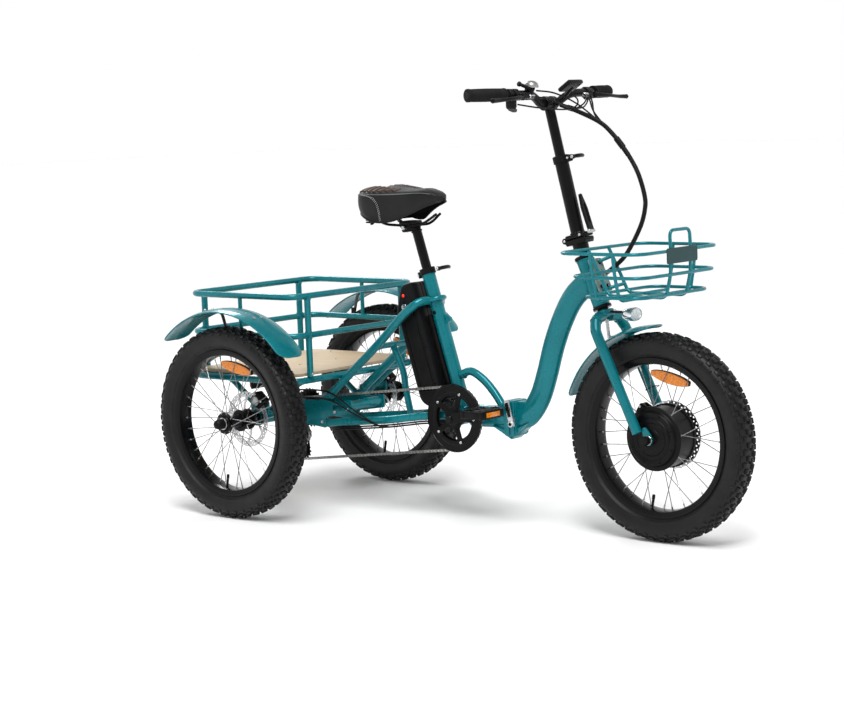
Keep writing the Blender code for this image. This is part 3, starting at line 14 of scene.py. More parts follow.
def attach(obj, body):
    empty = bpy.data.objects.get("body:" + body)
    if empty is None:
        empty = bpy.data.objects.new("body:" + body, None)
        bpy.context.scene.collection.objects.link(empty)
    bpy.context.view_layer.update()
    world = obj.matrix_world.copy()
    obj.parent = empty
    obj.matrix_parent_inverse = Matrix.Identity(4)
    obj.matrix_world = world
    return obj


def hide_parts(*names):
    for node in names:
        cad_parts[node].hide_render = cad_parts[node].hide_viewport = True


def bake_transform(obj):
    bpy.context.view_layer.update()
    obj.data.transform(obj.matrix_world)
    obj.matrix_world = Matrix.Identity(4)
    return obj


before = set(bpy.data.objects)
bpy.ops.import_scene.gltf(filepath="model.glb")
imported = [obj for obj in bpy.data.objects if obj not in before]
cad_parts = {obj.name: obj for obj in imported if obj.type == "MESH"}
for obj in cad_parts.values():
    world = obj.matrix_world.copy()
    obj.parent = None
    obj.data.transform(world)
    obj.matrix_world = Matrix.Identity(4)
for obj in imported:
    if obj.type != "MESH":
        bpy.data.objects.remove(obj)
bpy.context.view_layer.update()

# ---------------------------------------------------------------- dimensions shared by many pieces
WHEELBASE = 1.233
SHIFT = Vector((-WHEELBASE / 2, 0.0, 0.0))
AXLE_Z = 0.2748 * math.cos(math.pi / 32)
HALF_TRACK = 0.34
SIDES = {"right": -1, "left": 1}

HEAD_MIDDLE = Vector((1.0287, 0.0, 0.669))
BOTTOM_BRACKET = Vector((0.5843, 0.0, 0.286))
STEM_BASE = Vector((0.9866, 0.0, 0.785))
BAR_CENTRE = Vector((0.8985, 0.0, 1.14))
STEERING_TILT = math.radians(23.0)
SEAT_TILT = math.radians(17.4)
STEM_TILT = math.radians(14.0)
CHAIN_Y = -0.048
CRANK_ANGLE = math.radians(12.0)
CRANK_LENGTH = 0.17
X, Y, Z = Vector((1, 0, 0)), Vector((0, 1, 0)), Vector((0, 0, 1))


def leaning(tilt):
    """The up and forward directions of something that leans back by tilt."""
    up = Vector((-math.sin(tilt), 0.0, math.cos(tilt)))
    return up, Vector((math.cos(tilt), 0.0, math.sin(tilt)))


STEERING_UP, STEERING_FRONT = leaning(STEERING_TILT)
SEAT_UP, SEAT_FRONT = leaning(SEAT_TILT)
STEM_UP, STEM_FRONT = leaning(STEM_TILT)


def on_head(up, front=0.0, y=0.0):
    return HEAD_MIDDLE + STEERING_UP * up + STEERING_FRONT * front + Y * y


def on_seat(up, back=0.0, y=0.0):
    return BOTTOM_BRACKET + SEAT_UP * up - SEAT_FRONT * back + Y * y


def on_stem(up, front=0.0, y=0.0):
    return STEM_BASE + STEM_UP * up + STEM_FRONT * front + Y * y


# ---------------------------------------------------------------- materials
class Graph:
    """A small helper that adds nodes to one material and links them."""

    def __init__(self, name):
        self.material = bpy.data.materials.new(name)
        self.material.use_nodes = True
        self.tree = self.material.node_tree
        self.shader = self.tree.nodes["Principled BSDF"]
        self.place = self.add("ShaderNodeTexCoord").outputs["Object"]

    def add(self, kind, **settings):
        node = self.tree.nodes.new(kind)
        for key, value in settings.items():
            if hasattr(node, key):
                setattr(node, key, value)
            else:
                node.inputs[key.replace("_", " ")].default_value = value
        return node

    def link(self, source, target):
        self.tree.links.new(source, target)

    def noise(self, scale, detail=3.0, stretch=None):
        node = self.add("ShaderNodeTexNoise")
        node.inputs["Scale"].default_value = scale
        node.inputs["Detail"].default_value = detail
        place = self.place
        if stretch:
            mapping = self.add("ShaderNodeMapping")
            mapping.inputs["Scale"].default_value = stretch
            self.link(place, mapping.inputs["Vector"])
            place = mapping.outputs["Vector"]
        self.link(place, node.inputs["Vector"])
        return node.outputs["Fac"]

    def spread(self, source, low, high, start=0.3, stop=0.7):
        node = self.add("ShaderNodeMapRange")
        for key, value in (("From Min", start), ("From Max", stop), ("To Min", low), ("To Max", high)):
            node.inputs[key].default_value = value
        self.link(source, node.inputs["Value"])
        return node.outputs["Result"]

    def blend(self, factor, first, second):
        node = self.add("ShaderNodeMix", data_type="RGBA")
        sockets = [s for s in node.inputs if s.type == "RGBA"]
        for socket, value in zip(sockets, (first, second)):
            if isinstance(value, tuple):
                socket.default_value = (*value, 1.0)
            else:
                self.link(value, socket)
        self.link(factor, node.inputs[0])
        return next(s for s in node.outputs if s.type == "RGBA")

    def colour(self, source):
        self.link(source, self.shader.inputs["Base Color"])

    def roughness(self, source):
        self.link(source, self.shader.inputs["Roughness"])

    def bump(self, source, strength, distance):
        node = self.add("ShaderNodeBump")
        node.inputs["Strength"].default_value = strength
        node.inputs["Distance"].default_value = distance
        self.link(source, node.inputs["Height"])
        self.link(node.outputs["Normal"], self.shader.inputs["Normal"])


def paint(name, dark, light, roughness, metallic, coat, orange_peel, gloss=0.25):
    """Painted metal: slight colour drift, dust in the roughness and the ripple of a sprayed coat."""
    graph = Graph(name)
    graph.shader.inputs["Metallic"].default_value = metallic
    graph.shader.inputs["Coat Weight"].default_value = coat
    graph.shader.inputs["Specular IOR Level"].default_value = gloss
    graph.shader.inputs["Coat Roughness"].default_value = 0.06
    graph.colour(graph.blend(graph.spread(graph.noise(9.0), 0.0, 1.0), dark, light))
    graph.roughness(graph.spread(graph.noise(35.0, 6.0), roughness - 0.05, roughness + 0.07))
    graph.bump(graph.noise(420.0, 2.0), orange_peel, 0.0006)
    return graph.material


def moulded(name, dark, light, roughness, grain, strength, gloss=0.14):
    """Moulded plastic or rubber with a fine grain."""
    graph = Graph(name)
    graph.colour(graph.blend(graph.spread(graph.noise(22.0, 5.0), 0.0, 1.0), dark, light))
    graph.roughness(graph.spread(graph.noise(60.0, 5.0), roughness - 0.06, roughness + 0.08))
    graph.shader.inputs["Specular IOR Level"].default_value = gloss
    graph.bump(graph.noise(grain, 4.0), strength, 0.0008)
    return graph.material


def bare_metal(name, dark, light, roughness, stretch):
    """Bare metal with the fine lines that brushing or turning leaves."""
    graph = Graph(name)
    graph.shader.inputs["Metallic"].default_value = 1.0
    lines = graph.noise(60.0, 6.0, stretch)
    graph.colour(graph.blend(graph.spread(lines, 0.0, 1.0), dark, light))
    graph.roughness(graph.spread(lines, roughness - 0.06, roughness + 0.1))
    graph.bump(lines, 0.12, 0.0003)
    return graph.material


def lens(name, colour, glow=0.0):
    """Clear coloured plastic with a prism pattern, and an emission of strength glow, which on the amber
    reflectors is a painted glow.
    """
    graph = Graph(name)
    cells = graph.add("ShaderNodeTexVoronoi")
    cells.inputs["Scale"].default_value = 320.0
    graph.link(graph.place, cells.inputs["Vector"])
    dark = tuple(channel * 0.45 for channel in colour)
    graph.colour(graph.blend(graph.spread(cells.outputs["Distance"], 0.0, 1.0, 0.0, 0.8), colour, dark))
    graph.shader.inputs["Roughness"].default_value = 0.12
    graph.shader.inputs["Coat Weight"].default_value = 0.3
    graph.shader.inputs["Emission Color"].default_value = (*colour, 1.0)
    graph.shader.inputs["Emission Strength"].default_value = glow
    graph.bump(cells.outputs["Distance"], 0.35, 0.0006)
    return graph.material


def vinyl(name, dark, light):
    """Upholstery vinyl: a pebbled grain with soft gloss."""
    graph = Graph(name)
    cells = graph.add("ShaderNodeTexVoronoi", feature="SMOOTH_F1")
    cells.inputs["Scale"].default_value = 520.0
    graph.link(graph.place, cells.inputs["Vector"])
    graph.colour(graph.blend(graph.spread(graph.noise(14.0), 0.0, 1.0), dark, light))
    graph.roughness(graph.spread(graph.noise(30.0, 5.0), 0.36, 0.5))
    graph.shader.inputs["Specular IOR Level"].default_value = 0.22
    graph.shader.inputs["Sheen Weight"].default_value = 0.03
    graph.bump(cells.outputs["Distance"], 0.3, 0.0006)
    return graph.material


def plywood(name):
    """Birch plywood: long grain on its faces and dark and light plies on its edges."""
    graph = Graph(name)
    rings = graph.add("ShaderNodeTexWave", wave_type="BANDS", bands_direction="Y")
    for key, value in (("Scale", 9.0), ("Distortion", 7.0), ("Detail", 4.0), ("Detail Scale", 1.6)):
        rings.inputs[key].default_value = value
    stretched = graph.add("ShaderNodeMapping")
    stretched.inputs["Scale"].default_value = (0.35, 2.2, 1.0)
    graph.link(graph.place, stretched.inputs["Vector"])
    graph.link(stretched.outputs["Vector"], rings.inputs["Vector"])
    grain = graph.blend(
        graph.spread(rings.outputs["Fac"], 0.0, 1.0, 0.0, 1.0), (0.54, 0.41, 0.26), (0.65, 0.52, 0.36)
    )
    fibres = graph.spread(graph.noise(90.0, 6.0, (0.1, 2.4, 1.0)), 0.0, 0.55)
    face = graph.blend(fibres, grain, (0.46, 0.33, 0.2))
    plies = graph.add("ShaderNodeTexWave", wave_type="BANDS", bands_direction="Z")
    plies.inputs["Scale"].default_value = 110.0
    graph.link(graph.place, plies.inputs["Vector"])
    edge = graph.blend(
        graph.spread(plies.outputs["Fac"], 0.0, 1.0, 0.3, 0.7), (0.24, 0.14, 0.07), (0.66, 0.52, 0.36)
    )
    normal = graph.add("ShaderNodeNewGeometry").outputs["Normal"]
    split = graph.add("ShaderNodeSeparateXYZ")
    graph.link(normal, split.inputs["Vector"])
    upright = graph.add("ShaderNodeMath", operation="ABSOLUTE")
    graph.link(split.outputs["Z"], upright.inputs[0])
    graph.colour(graph.blend(graph.spread(upright.outputs["Value"], 0.0, 1.0, 0.4, 0.7), edge, face))
    graph.shader.inputs["Roughness"].default_value = 0.5
    graph.bump(graph.noise(160.0, 5.0, (0.15, 2.0, 1.0)), 0.25, 0.0005)
    return graph.material


MATERIALS = {
    "teal": paint("teal_gloss", (0.001, 0.15, 0.178), (0.002, 0.182, 0.212), 0.28, 0.3, 0.28, 0.05, 0.18),
    "dark_teal": paint(
        "dark_teal_gloss", (0.001, 0.03, 0.034), (0.002, 0.042, 0.047), 0.34, 0.1, 0.15, 0.05
    ),
    "black_metal": paint(
        "black_satin", (0.003, 0.003, 0.0033), (0.006, 0.006, 0.0065), 0.32, 0.0, 0.0, 0.1, 0.12
    ),
    "black_gloss": paint(
        "black_gloss", (0.002, 0.002, 0.0023), (0.004, 0.004, 0.0045), 0.2, 0.0, 0.03, 0.04, 0.14
    ),
    "black_plastic": moulded(
        "black_plastic", (0.003, 0.003, 0.0033), (0.006, 0.006, 0.0065), 0.38, 700.0, 0.3
    ),
    "felt": moulded(
        "saddle_underside", (0.003, 0.003, 0.003), (0.006, 0.006, 0.006), 0.92, 300.0, 0.3, 0.0
    ),
    "dark_grey": moulded(
        "dark_grey_plastic", (0.045, 0.045, 0.048), (0.07, 0.07, 0.073), 0.5, 500.0, 0.25
    ),
    "rubber": moulded(
        "tyre_rubber", (0.004, 0.004, 0.0045), (0.008, 0.008, 0.0085), 0.44, 420.0, 0.3, 0.24
    ),
    "grip_rubber": moulded(
        "grip_rubber", (0.006, 0.006, 0.0065), (0.012, 0.012, 0.0125), 0.62, 900.0, 0.5
    ),
    "cable": moulded("cable_sheath", (0.004, 0.004, 0.0045), (0.009, 0.009, 0.0095), 0.4, 800.0, 0.15),
    "steel": bare_metal("bright_steel", (0.46, 0.47, 0.48), (0.66, 0.67, 0.68), 0.26, (1.0, 1.0, 6.0)),
    "spoke": bare_metal("spoke_steel", (0.22, 0.22, 0.23), (0.36, 0.36, 0.37), 0.26, (3.0, 3.0, 1.0)),
    "chain": bare_metal("chain_steel", (0.2, 0.2, 0.19), (0.38, 0.38, 0.36), 0.34, (2.0, 2.0, 2.0)),
    "zinc": bare_metal("zinc_plate", (0.4, 0.42, 0.42), (0.56, 0.58, 0.58), 0.42, (1.0, 5.0, 1.0)),
    "grey_green": paint(
        "grey_green_enamel", (0.16, 0.22, 0.21), (0.21, 0.28, 0.27), 0.45, 0.0, 0.0, 0.06
    ),
    "bell": bare_metal("bell_silver", (0.28, 0.28, 0.27), (0.38, 0.38, 0.37), 0.34, (1.0, 1.0, 1.0)),
    "chrome": bare_metal("chrome", (0.72, 0.73, 0.74), (0.82, 0.83, 0.84), 0.1, (1.0, 1.0, 1.0)),
    # The amber reflector plastic glows slightly: a painted glow, since a reflector is no lamp.
    "amber": lens("amber_lens_painted_glow", (0.95, 0.27, 0.004), 0.1),
    "red": lens("red_lens", (0.55, 0.01, 0.008), 0.1),
    "clear": lens("lamp_lens", (0.72, 0.76, 0.78), 0.15),
    "led": lens("red_led", (0.9, 0.02, 0.01), 1.5),
    "screen": moulded("display_screen", (0.02, 0.024, 0.028), (0.026, 0.03, 0.034), 0.16, 100.0, 0.0),
    "vinyl": vinyl("saddle_vinyl", (0.006, 0.006, 0.0065), (0.012, 0.012, 0.013)),
    "brown_vinyl": vinyl("ribbed_insert", (0.055, 0.036, 0.027), (0.08, 0.054, 0.041)),
    "piping": vinyl("grey_piping", (0.1, 0.11, 0.11), (0.16, 0.17, 0.17)),
    "thread": moulded("white_thread", (0.42, 0.42, 0.4), (0.56, 0.56, 0.54), 0.7, 900.0, 0.4),
    "plywood": plywood("birch_plywood"),
}

# ---------------------------------------------------------------- geometry
def frame_at(origin, z_axis, x_hint=(1.0, 0.0, 0.0)):
    """A placement whose local Z runs along z_axis and whose local X is near x_hint."""
    z = Vector(z_axis).normalized()
    x = Vector(x_hint) - z * z.dot(Vector(x_hint))
    if x.length < 1e-4:
        x = Y - z * z.y
    x.normalize()
    turn = Matrix((x, z.cross(x), z)).transposed().to_4x4()
    return Matrix.Translation(Vector(origin)) @ turn


def revolve(profile, place, steps=48):
    """Turns (radius, height) points round the placement's Z, and closes a profile that stays off the axis."""
    ring_profile = min(r for r, _ in profile) > 1e-7
    verts, rows = [], []
    for radius, height in profile:
        if radius <= 1e-7:
            rows.append([len(verts)] * steps)
            verts.append(place @ Vector((0, 0, height)))
            continue
        row = []
        for k in range(steps):
            turn = 2 * math.pi * k / steps
            row.append(len(verts))
            verts.append(place @ Vector((radius * math.cos(turn), radius * math.sin(turn), height)))
        rows.append(row)
    pairs = list(zip(rows, rows[1:])) + ([(rows[-1], rows[0])] if ring_profile else [])
    faces = []
    for low, high in pairs:
        for k in range(steps):
            loop = [low[k], low[(k + 1) % steps], high[(k + 1) % steps], high[k]]
            unique = [v for i, v in enumerate(loop) if v not in loop[:i]]
            if len(unique) > 2:
                faces.append(unique)
    return verts, faces


def sweep(points, radius, sides=14, cyclic=False, section=None, hint=None):
    """A round tube along points. A path in the middle plane can have a section of (side, up) offsets."""
    path = [Vector(p) for p in points]
    count = len(path)
    verts, rows = [], []
    normal = None
    for i, point in enumerate(path):
        before = path[i - 1] if (i or cyclic) else point
        after = path[(i + 1) % count] if (i < count - 1 or cyclic) else point
        along = (after - before).normalized()
        if section:
            normal = Y.copy()
        elif hint:
            normal = (Vector(hint) - along * along.dot(Vector(hint))).normalized()
        elif normal is None:
            other = Z if abs(along.z) < 0.9 else X
            normal = (other - along * along.dot(other)).normalized()
        else:
            normal = (normal - along * along.dot(normal)).normalized()
        up = along.cross(normal)
        size = radius[i] if isinstance(radius, (list, tuple)) else radius
        if section:
            ring = [point + normal * a + up * b for a, b in section(i / (count - 1))]
        else:
            turns = [2 * math.pi * k / sides for k in range(sides)]
            ring = [point + (normal * math.cos(t) + up * math.sin(t)) * size for t in turns]
        rows.append(list(range(len(verts), len(verts) + len(ring))))
        verts += ring
    faces = []
    around = len(rows[0])
    for low, high in list(zip(rows, rows[1:])) + ([(rows[-1], rows[0])] if cyclic else []):
        for k in range(around):
            faces.append([low[k], low[(k + 1) % around], high[(k + 1) % around], high[k]])
    if not cyclic:
        faces += [rows[0][::-1], rows[-1]]
    return verts, faces


def cuboid(size, place, bevel=0.002, segments=2):
    """A block with rounded edges, centred on the placement."""
    work = bmesh.new()
    bmesh.ops.create_cube(work, size=1.0)
    bmesh.ops.scale(work, vec=size, verts=work.verts)
    if bevel:
        bmesh.ops.bevel(
            work, geom=work.edges[:], offset=bevel, segments=segments, affect="EDGES", profile=0.5
        )
    bmesh.ops.recalc_face_normals(work, faces=work.faces)
    work.verts.ensure_lookup_table()
    verts = [place @ v.co for v in work.verts]
    faces = [[v.index for v in face.verts] for face in work.faces]
    work.free()
    return verts, faces


def slab(outlines, thickness, place, bevel=0.0004):
    """A plate with softened edges: the first outline, with the others as holes."""
    curve = bpy.data.curves.new("slab", "CURVE")
    curve.dimensions = "2D"
    curve.fill_mode = "BOTH"
    curve.extrude = max(thickness / 2 - bevel, 1e-5)
    curve.bevel_depth = bevel
    curve.bevel_resolution = 1
    curve.offset = -bevel
    for outline in outlines:
        spline = curve.splines.new("POLY")
        spline.points.add(len(outline) - 1)
        for i, (x, y) in enumerate(outline):
            spline.points[i].co = (x, y, 0.0, 1.0)
        spline.use_cyclic_u = True
    holder = bpy.data.objects.new("slab", curve)
    bpy.context.scene.collection.objects.link(holder)
    mesh = bpy.data.meshes.new_from_object(holder.evaluated_get(bpy.context.evaluated_depsgraph_get()))
    verts = [place @ v.co for v in mesh.vertices]
    faces = [list(p.vertices) for p in mesh.polygons]
    bpy.data.objects.remove(holder)
    bpy.data.curves.remove(curve)
    bpy.data.meshes.remove(mesh)
    return verts, faces


def rod(start, end, radius, sides=20, chamfer=0.0):
    """A solid round bar between two points."""
    length = (Vector(end) - Vector(start)).length
    c = min(chamfer, radius * 0.6, length * 0.4)
    profile = [
        (0, 0), (radius - c, 0), (radius, c), (radius, length - c), (radius - c, length), (0, length)
    ]
    return revolve(profile, frame_at(start, Vector(end) - Vector(start)), sides)


def sleeve(start, end, radius, bore, sides=32, chamfer=0.0006):
    """A round bar with a hole along it."""
    length = (Vector(end) - Vector(start)).length
    profile = [(bore, 0), (radius - chamfer, 0), (radius, chamfer), (radius, length - chamfer)]
    profile += [(radius - chamfer, length), (bore, length)]
    return revolve(profile, frame_at(start, Vector(end) - Vector(start)), sides)


def bolt(place, axis, radius=0.0042, height=0.003, sides=18):
    """A button-head socket bolt standing on place."""
    r, h = radius, height
    profile = [
        (0, h * 0.35), (r * 0.45, h * 0.35), (r * 0.5, h), (r * 0.78, h), (r * 0.95, h * 0.6), (r, 0.0),
        (0, -h * 0.3)
    ]
    return revolve(profile, frame_at(place, axis), sides)


def hex_nut(place, axis, radius, height):
    """A six-sided nut standing on place."""
    profile = [(0, 0), (radius, 0), (radius, height * 0.8), (radius * 0.86, height), (0, height)]
    return revolve(profile, frame_at(place, axis), 6)


def weld(place, axis, radius, bead=0.0022):
    """The rippled bead that joins two tubes."""
    steps, around = 72, 6
    verts, faces = [], []
    placement = frame_at(place, axis)
    for i in range(steps):
        turn = 2 * math.pi * i / steps
        swell = bead * (1.0 + 0.22 * math.sin(turn * 18))
        for k in range(around):
            t = 2 * math.pi * k / around
            r = radius + swell * math.cos(t)
            verts.append(
                placement @ Vector((r * math.cos(turn), r * math.sin(turn), swell * math.sin(t)))
            )
    for i in range(steps):
        for k in range(around):
            a, b = i * around + k, i * around + (k + 1) % around
            c, d = ((i + 1) % steps) * around + (k + 1) % around, ((i + 1) % steps) * around + k
            faces.append([a, b, c, d])
    return verts, faces


def circle(radius, count, centre=(0.0, 0.0)):
    turns = [2 * math.pi * i / count for i in range(count)]
    return [(centre[0] + radius * math.cos(t), centre[1] + radius * math.sin(t)) for t in turns]


def spread(first, last, count):
    """Values at equal steps from first to last."""
    return [first + (last - first) * i / (count - 1) for i in range(count)]


def route(knots, per_span=8):
    """Points on a smooth curve through the knots."""
    knots = [Vector(k) for k in knots]
    ends = [2 * knots[0] - knots[1], *knots, 2 * knots[-1] - knots[-2]]
    points = []
    for a, b, c, d in zip(ends, ends[1:], ends[2:], ends[3:]):
        for step in range(per_span):
            t = step / per_span
            points.append(
                0.5 * (
                    2 * b + (c - a) * t + (2 * a - 5 * b + 4 * c - d) * t**2 + (3 * b - a - 3 * c + d) * t**3
                )
            )
    return points + [knots[-1]]


def bent(points, radius, steps=6):
    """A polyline whose corners are rounded."""
    points = [Vector(p) for p in points]
    out = [points[0]]
    for before, corner, after in zip(points, points[1:], points[2:]):
        a, b = (before - corner), (after - corner)
        reach = min(radius, a.length * 0.49, b.length * 0.49)
        start, end = corner + a.normalized() * reach, corner + b.normalized() * reach
        for step in range(steps + 1):
            t = step / steps
            out.append(start * (1 - t) ** 2 + corner * 2 * t * (1 - t) + end * t**2)
    return out + [points[-1]]


def level_loop(x_low, x_high, half_y, z, radius, per_corner=8):
    """A level rectangle with rounded corners."""
    corners = [(x_high - radius, half_y - radius, 0), (x_low + radius, half_y - radius, 90)]
    corners += [(x_low + radius, radius - half_y, 180), (x_high - radius, radius - half_y, 270)]
    loop = []
    for cx, cy, first in corners:
        for step in range(per_corner + 1):
            turn = math.radians(first + 90 * step / per_corner)
            loop.append(Vector((cx + radius * math.cos(turn), cy + radius * math.sin(turn), z)))
    return loop


def mirrored(points, side):
    return [Vector((p[0], p[1] * side, p[2])) for p in points]


def upright(x, y, z):
    """The placement of a plate that stands along the object: local X forward, local Y up."""
    return frame_at((x, y, z), (0.0, -1.0, 0.0))


def at(x, y, z):
    return Matrix.Translation((x, y, z))


def turned(place, degrees, axis):
    return place @ Matrix.Rotation(math.radians(degrees), 4, axis)


class Shape:
    """One visible piece, gathered from simple forms that may each have their own material."""

    def __init__(self, name, body, *replaced, slot=None):
        self.name, self.body, self.replaced, self.slot = name, body, replaced, slot
        self.verts, self.faces, self.indices, self.used = [], [], [], []

    def add(self, form, finish):
        verts, faces = form
        start = len(self.verts)
        self.verts += [Vector(v) for v in verts]
        self.add_faces([[v + start for v in face] for face in faces], finish)

    def add_faces(self, faces, finish):
        """Adds faces between points that the shape already has."""
        self.faces += faces
        if finish not in self.used:
            self.used.append(finish)
        self.indices += [self.used.index(finish)] * len(faces)

    def make(self, angle=38.0):
        mesh = bpy.data.meshes.new(self.name)
        mesh.from_pydata([v + SHIFT for v in self.verts], [], self.faces)
        mesh.polygons.foreach_set("material_index", self.indices)
        for finish in self.used:
            mesh.materials.append(MATERIALS[finish])
        work = bmesh.new()
        work.from_mesh(mesh)
        bmesh.ops.recalc_face_normals(work, faces=work.faces)
        work.to_mesh(mesh)
        work.free()
        mesh.shade_smooth()
        mesh.set_sharp_from_angle(angle=math.radians(angle))
        piece = bpy.data.objects.new(self.name, mesh)
        bpy.context.scene.collection.objects.link(piece)
        if self.replaced:
            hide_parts(*self.replaced)
        if self.body:
            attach(piece, self.body)
        return piece


# ---------------------------------------------------------------- camera, lights and floor
CAMERA_PLACE = Vector((4.3249, -4.5209, 1.1475))
CAMERA_AZIMUTH = 0.7117
CAMERA_ELEVATION = 0.1202
CAMERA_ROLL = -0.0361
CAMERA_LENS = 90.87


def add_camera():
    """The camera, ahead of the tricycle and to its right, looking slightly down."""
    azimuth, elevation, roll = CAMERA_AZIMUTH, CAMERA_ELEVATION, CAMERA_ROLL
    level = math.cos(elevation)
    ahead = Vector((-math.sin(azimuth) * level, math.cos(azimuth) * level, -math.sin(elevation)))
    right = Vector((math.cos(azimuth), math.sin(azimuth), 0.0))
    up = right.cross(ahead)
    level_right = right * math.cos(roll) + up * math.sin(roll)
    level_up = up * math.cos(roll) - right * math.sin(roll)
    camera = bpy.data.objects.new("camera", bpy.data.cameras.new("camera"))
    turn = Matrix((level_right, level_up, -ahead)).transposed().to_4x4()
    camera.matrix_world = Matrix.Translation(CAMERA_PLACE + SHIFT) @ turn
    camera.data.lens = CAMERA_LENS
    camera.data.sensor_width = 36.0
    camera.data.clip_end = 60.0
    bpy.context.scene.collection.objects.link(camera)
    bpy.context.scene.camera = camera


def add_light(name, place, target, size, power):
    data = bpy.data.lights.new(name, "AREA")
    data.shape = "RECTANGLE"
    data.size, data.size_y = size
    data.energy = power
    light = bpy.data.objects.new(name, data)
    light.matrix_world = frame_at(place, Vector(place) - Vector(target))
    bpy.context.scene.collection.objects.link(light)


def add_floor():
    half = 40
    corners = [(-half, -half, 0), (half, -half, 0), (half, half, 0), (-half, half, 0)]
    mesh = bpy.data.meshes.new("floor")
    mesh.from_pydata(corners, [], [(0, 1, 2, 3)])
    graph = Graph("floor_white")
    graph.colour(
        graph.blend(graph.spread(graph.noise(1.2), 0.0, 1.0), (0.87, 0.87, 0.87), (0.89, 0.89, 0.89))
    )
    graph.shader.inputs["Roughness"].default_value = 0.75
    mesh.materials.append(graph.material)
    floor = bpy.data.objects.new("floor", mesh)
    bpy.context.scene.collection.objects.link(floor)


def map_range(tree, *values):
    """A Map Range node with its From and To limits set."""
    node = tree.nodes.new("ShaderNodeMapRange")
    for key, value in zip(("From Min", "From Max", "To Min", "To Max"), values):
        node.inputs[key].default_value = value
    return node


def add_world():
    """White surroundings that are dimmer overhead and behind the camera, so that gloss shows some shape."""
    world = bpy.data.worlds.new("studio")
    world.use_nodes = True
    tree = world.node_tree
    direction = tree.nodes.new("ShaderNodeTexCoord").outputs["Generated"]
    split = tree.nodes.new("ShaderNodeSeparateXYZ")
    overhead = map_range(tree, 0.34, 0.8, 1.0, 0.3)
    facing = tree.nodes.new("ShaderNodeVectorMath")
    facing.operation = "DOT_PRODUCT"
    facing.inputs[1].default_value = (0.65, -0.76, 0.0)
    behind = map_range(tree, 0.1, 0.9, 1.0, 0.62)
    product = tree.nodes.new("ShaderNodeMath")
    product.operation = "MULTIPLY"
    background = tree.nodes["Background"]
    for source, target in (
        (direction, split.inputs["Vector"]),
        (split.outputs["Z"], overhead.inputs["Value"]),
        (direction, facing.inputs[0]),
        (facing.outputs["Value"], behind.inputs["Value"]),
        (overhead.outputs["Result"], product.inputs[0]),
        (behind.outputs["Result"], product.inputs[1]),
        (product.outputs["Value"], background.inputs["Strength"]),
    ):
        tree.links.new(source, target)
    background.inputs["Color"].default_value = (1.0, 1.0, 1.0, 1.0)
    bpy.context.scene.world = world


def add_studio():
    """A pale floor, white surroundings, two soft boxes and a broad overhead light."""
    add_floor()
    add_world()
    add_light("key", (2.6, -3.0, 4.4), (0, 0, 0.5), (1.1, 1.1), 80)
    add_light("back", (-3.4, 1.8, 3.4), (0, 0, 0.6), (1.1, 1.1), 50)
    sun = bpy.data.lights.new("overhead_sun", "SUN")
    sun.energy = 2.3
    sun.angle = math.radians(35.0)
    overhead = bpy.data.objects.new("overhead_sun", sun)
    overhead.matrix_world = frame_at((0, 0, 6), (0.25, -0.3, 1.0))
    bpy.context.scene.collection.objects.link(overhead)
    bpy.context.scene.view_settings.view_transform = "Standard"


# ---------------------------------------------------------------- more forms
def prism(outline, low, high, place):
    """An outline in the placement's XY plane, drawn out from low to high along its Z."""
    n = len(outline)
    verts = [place @ Vector((x, y, z)) for z in (low, high) for x, y in outline]
    faces = [list(range(n))[::-1], list(range(n, 2 * n))]
    faces += [[i, (i + 1) % n, n + (i + 1) % n, n + i] for i in range(n)]
    return verts, faces


OVAL_POINTS = 28


def oval(half_side, half_up):
    turns = [2 * math.pi * i / OVAL_POINTS for i in range(OVAL_POINTS)]
    return [(half_side * math.cos(t), half_up * math.sin(t)) for t in turns]


def spline_value(knots, s):
    """A smooth curve of (place, value) knots, read at s."""
    s = min(max(s, knots[0][0]), knots[-1][0])
    k = next(i for i in range(1, len(knots)) if s <= knots[i][0])
    slopes = []
    for i in (k - 1, k):
        (a, low), (b, high) = knots[max(i - 1, 0)], knots[min(i + 1, len(knots) - 1)]
        slopes.append((high - low) / (b - a))
    (a, low), (b, high) = knots[k - 1], knots[k]
    span = b - a
    t = (s - a) / span
    value = low * (1 + 2 * t) * (1 - t) ** 2 + high * t * t * (3 - 2 * t)
    return value + span * (slopes[0] * t * (1 - t) ** 2 - slopes[1] * t * t * (1 - t))


def axle_place(x, y):
    """Local Z along the axle towards the left, local X forward, local Y down."""
    return frame_at((x, y, AXLE_Z), Y)


def polar(place, radius, turn, height):
    return place @ Vector((radius * math.cos(turn), radius * math.sin(turn), height))


# ---------------------------------------------------------------- wheels
TYRE_PROFILE = [
    (0.2095, 0.0246), (0.2125, 0.0262), (0.215, 0.029), (0.2178, 0.0312), (0.2186, 0.0326), (0.22, 0.0326),
    (0.221, 0.0326), (0.229, 0.0356), (0.238, 0.0374), (0.247, 0.0378), (0.254, 0.0358), (0.2596, 0.0315),
    (0.264, 0.0245), (0.2668, 0.0155), (0.2678, 0.0),
]
# For each row of knobs: distance from the middle, foot radius, lean in degrees, half width, half length,
# phase round the tyre in knobs, and height.
TREAD_ROWS = [
    (0.007, 0.2676, 3.0, 0.005, 0.0062, 0.0, 0.0055), (0.019, 0.2656, 18.0, 0.005, 0.0066, 0.5, 0.0058),
    (0.0285, 0.2612, 40.0, 0.0034, 0.0074, 0.0, 0.0048), (0.0352, 0.2545, 66.0, 0.004, 0.0046, 0.5, 0.0026),
]
KNOBS = 50


def both_sides(half):
    """A wheel's whole profile from one half, which ends on the middle plane."""
    return half + [(r, -y) for r, y in half[-2::-1]]


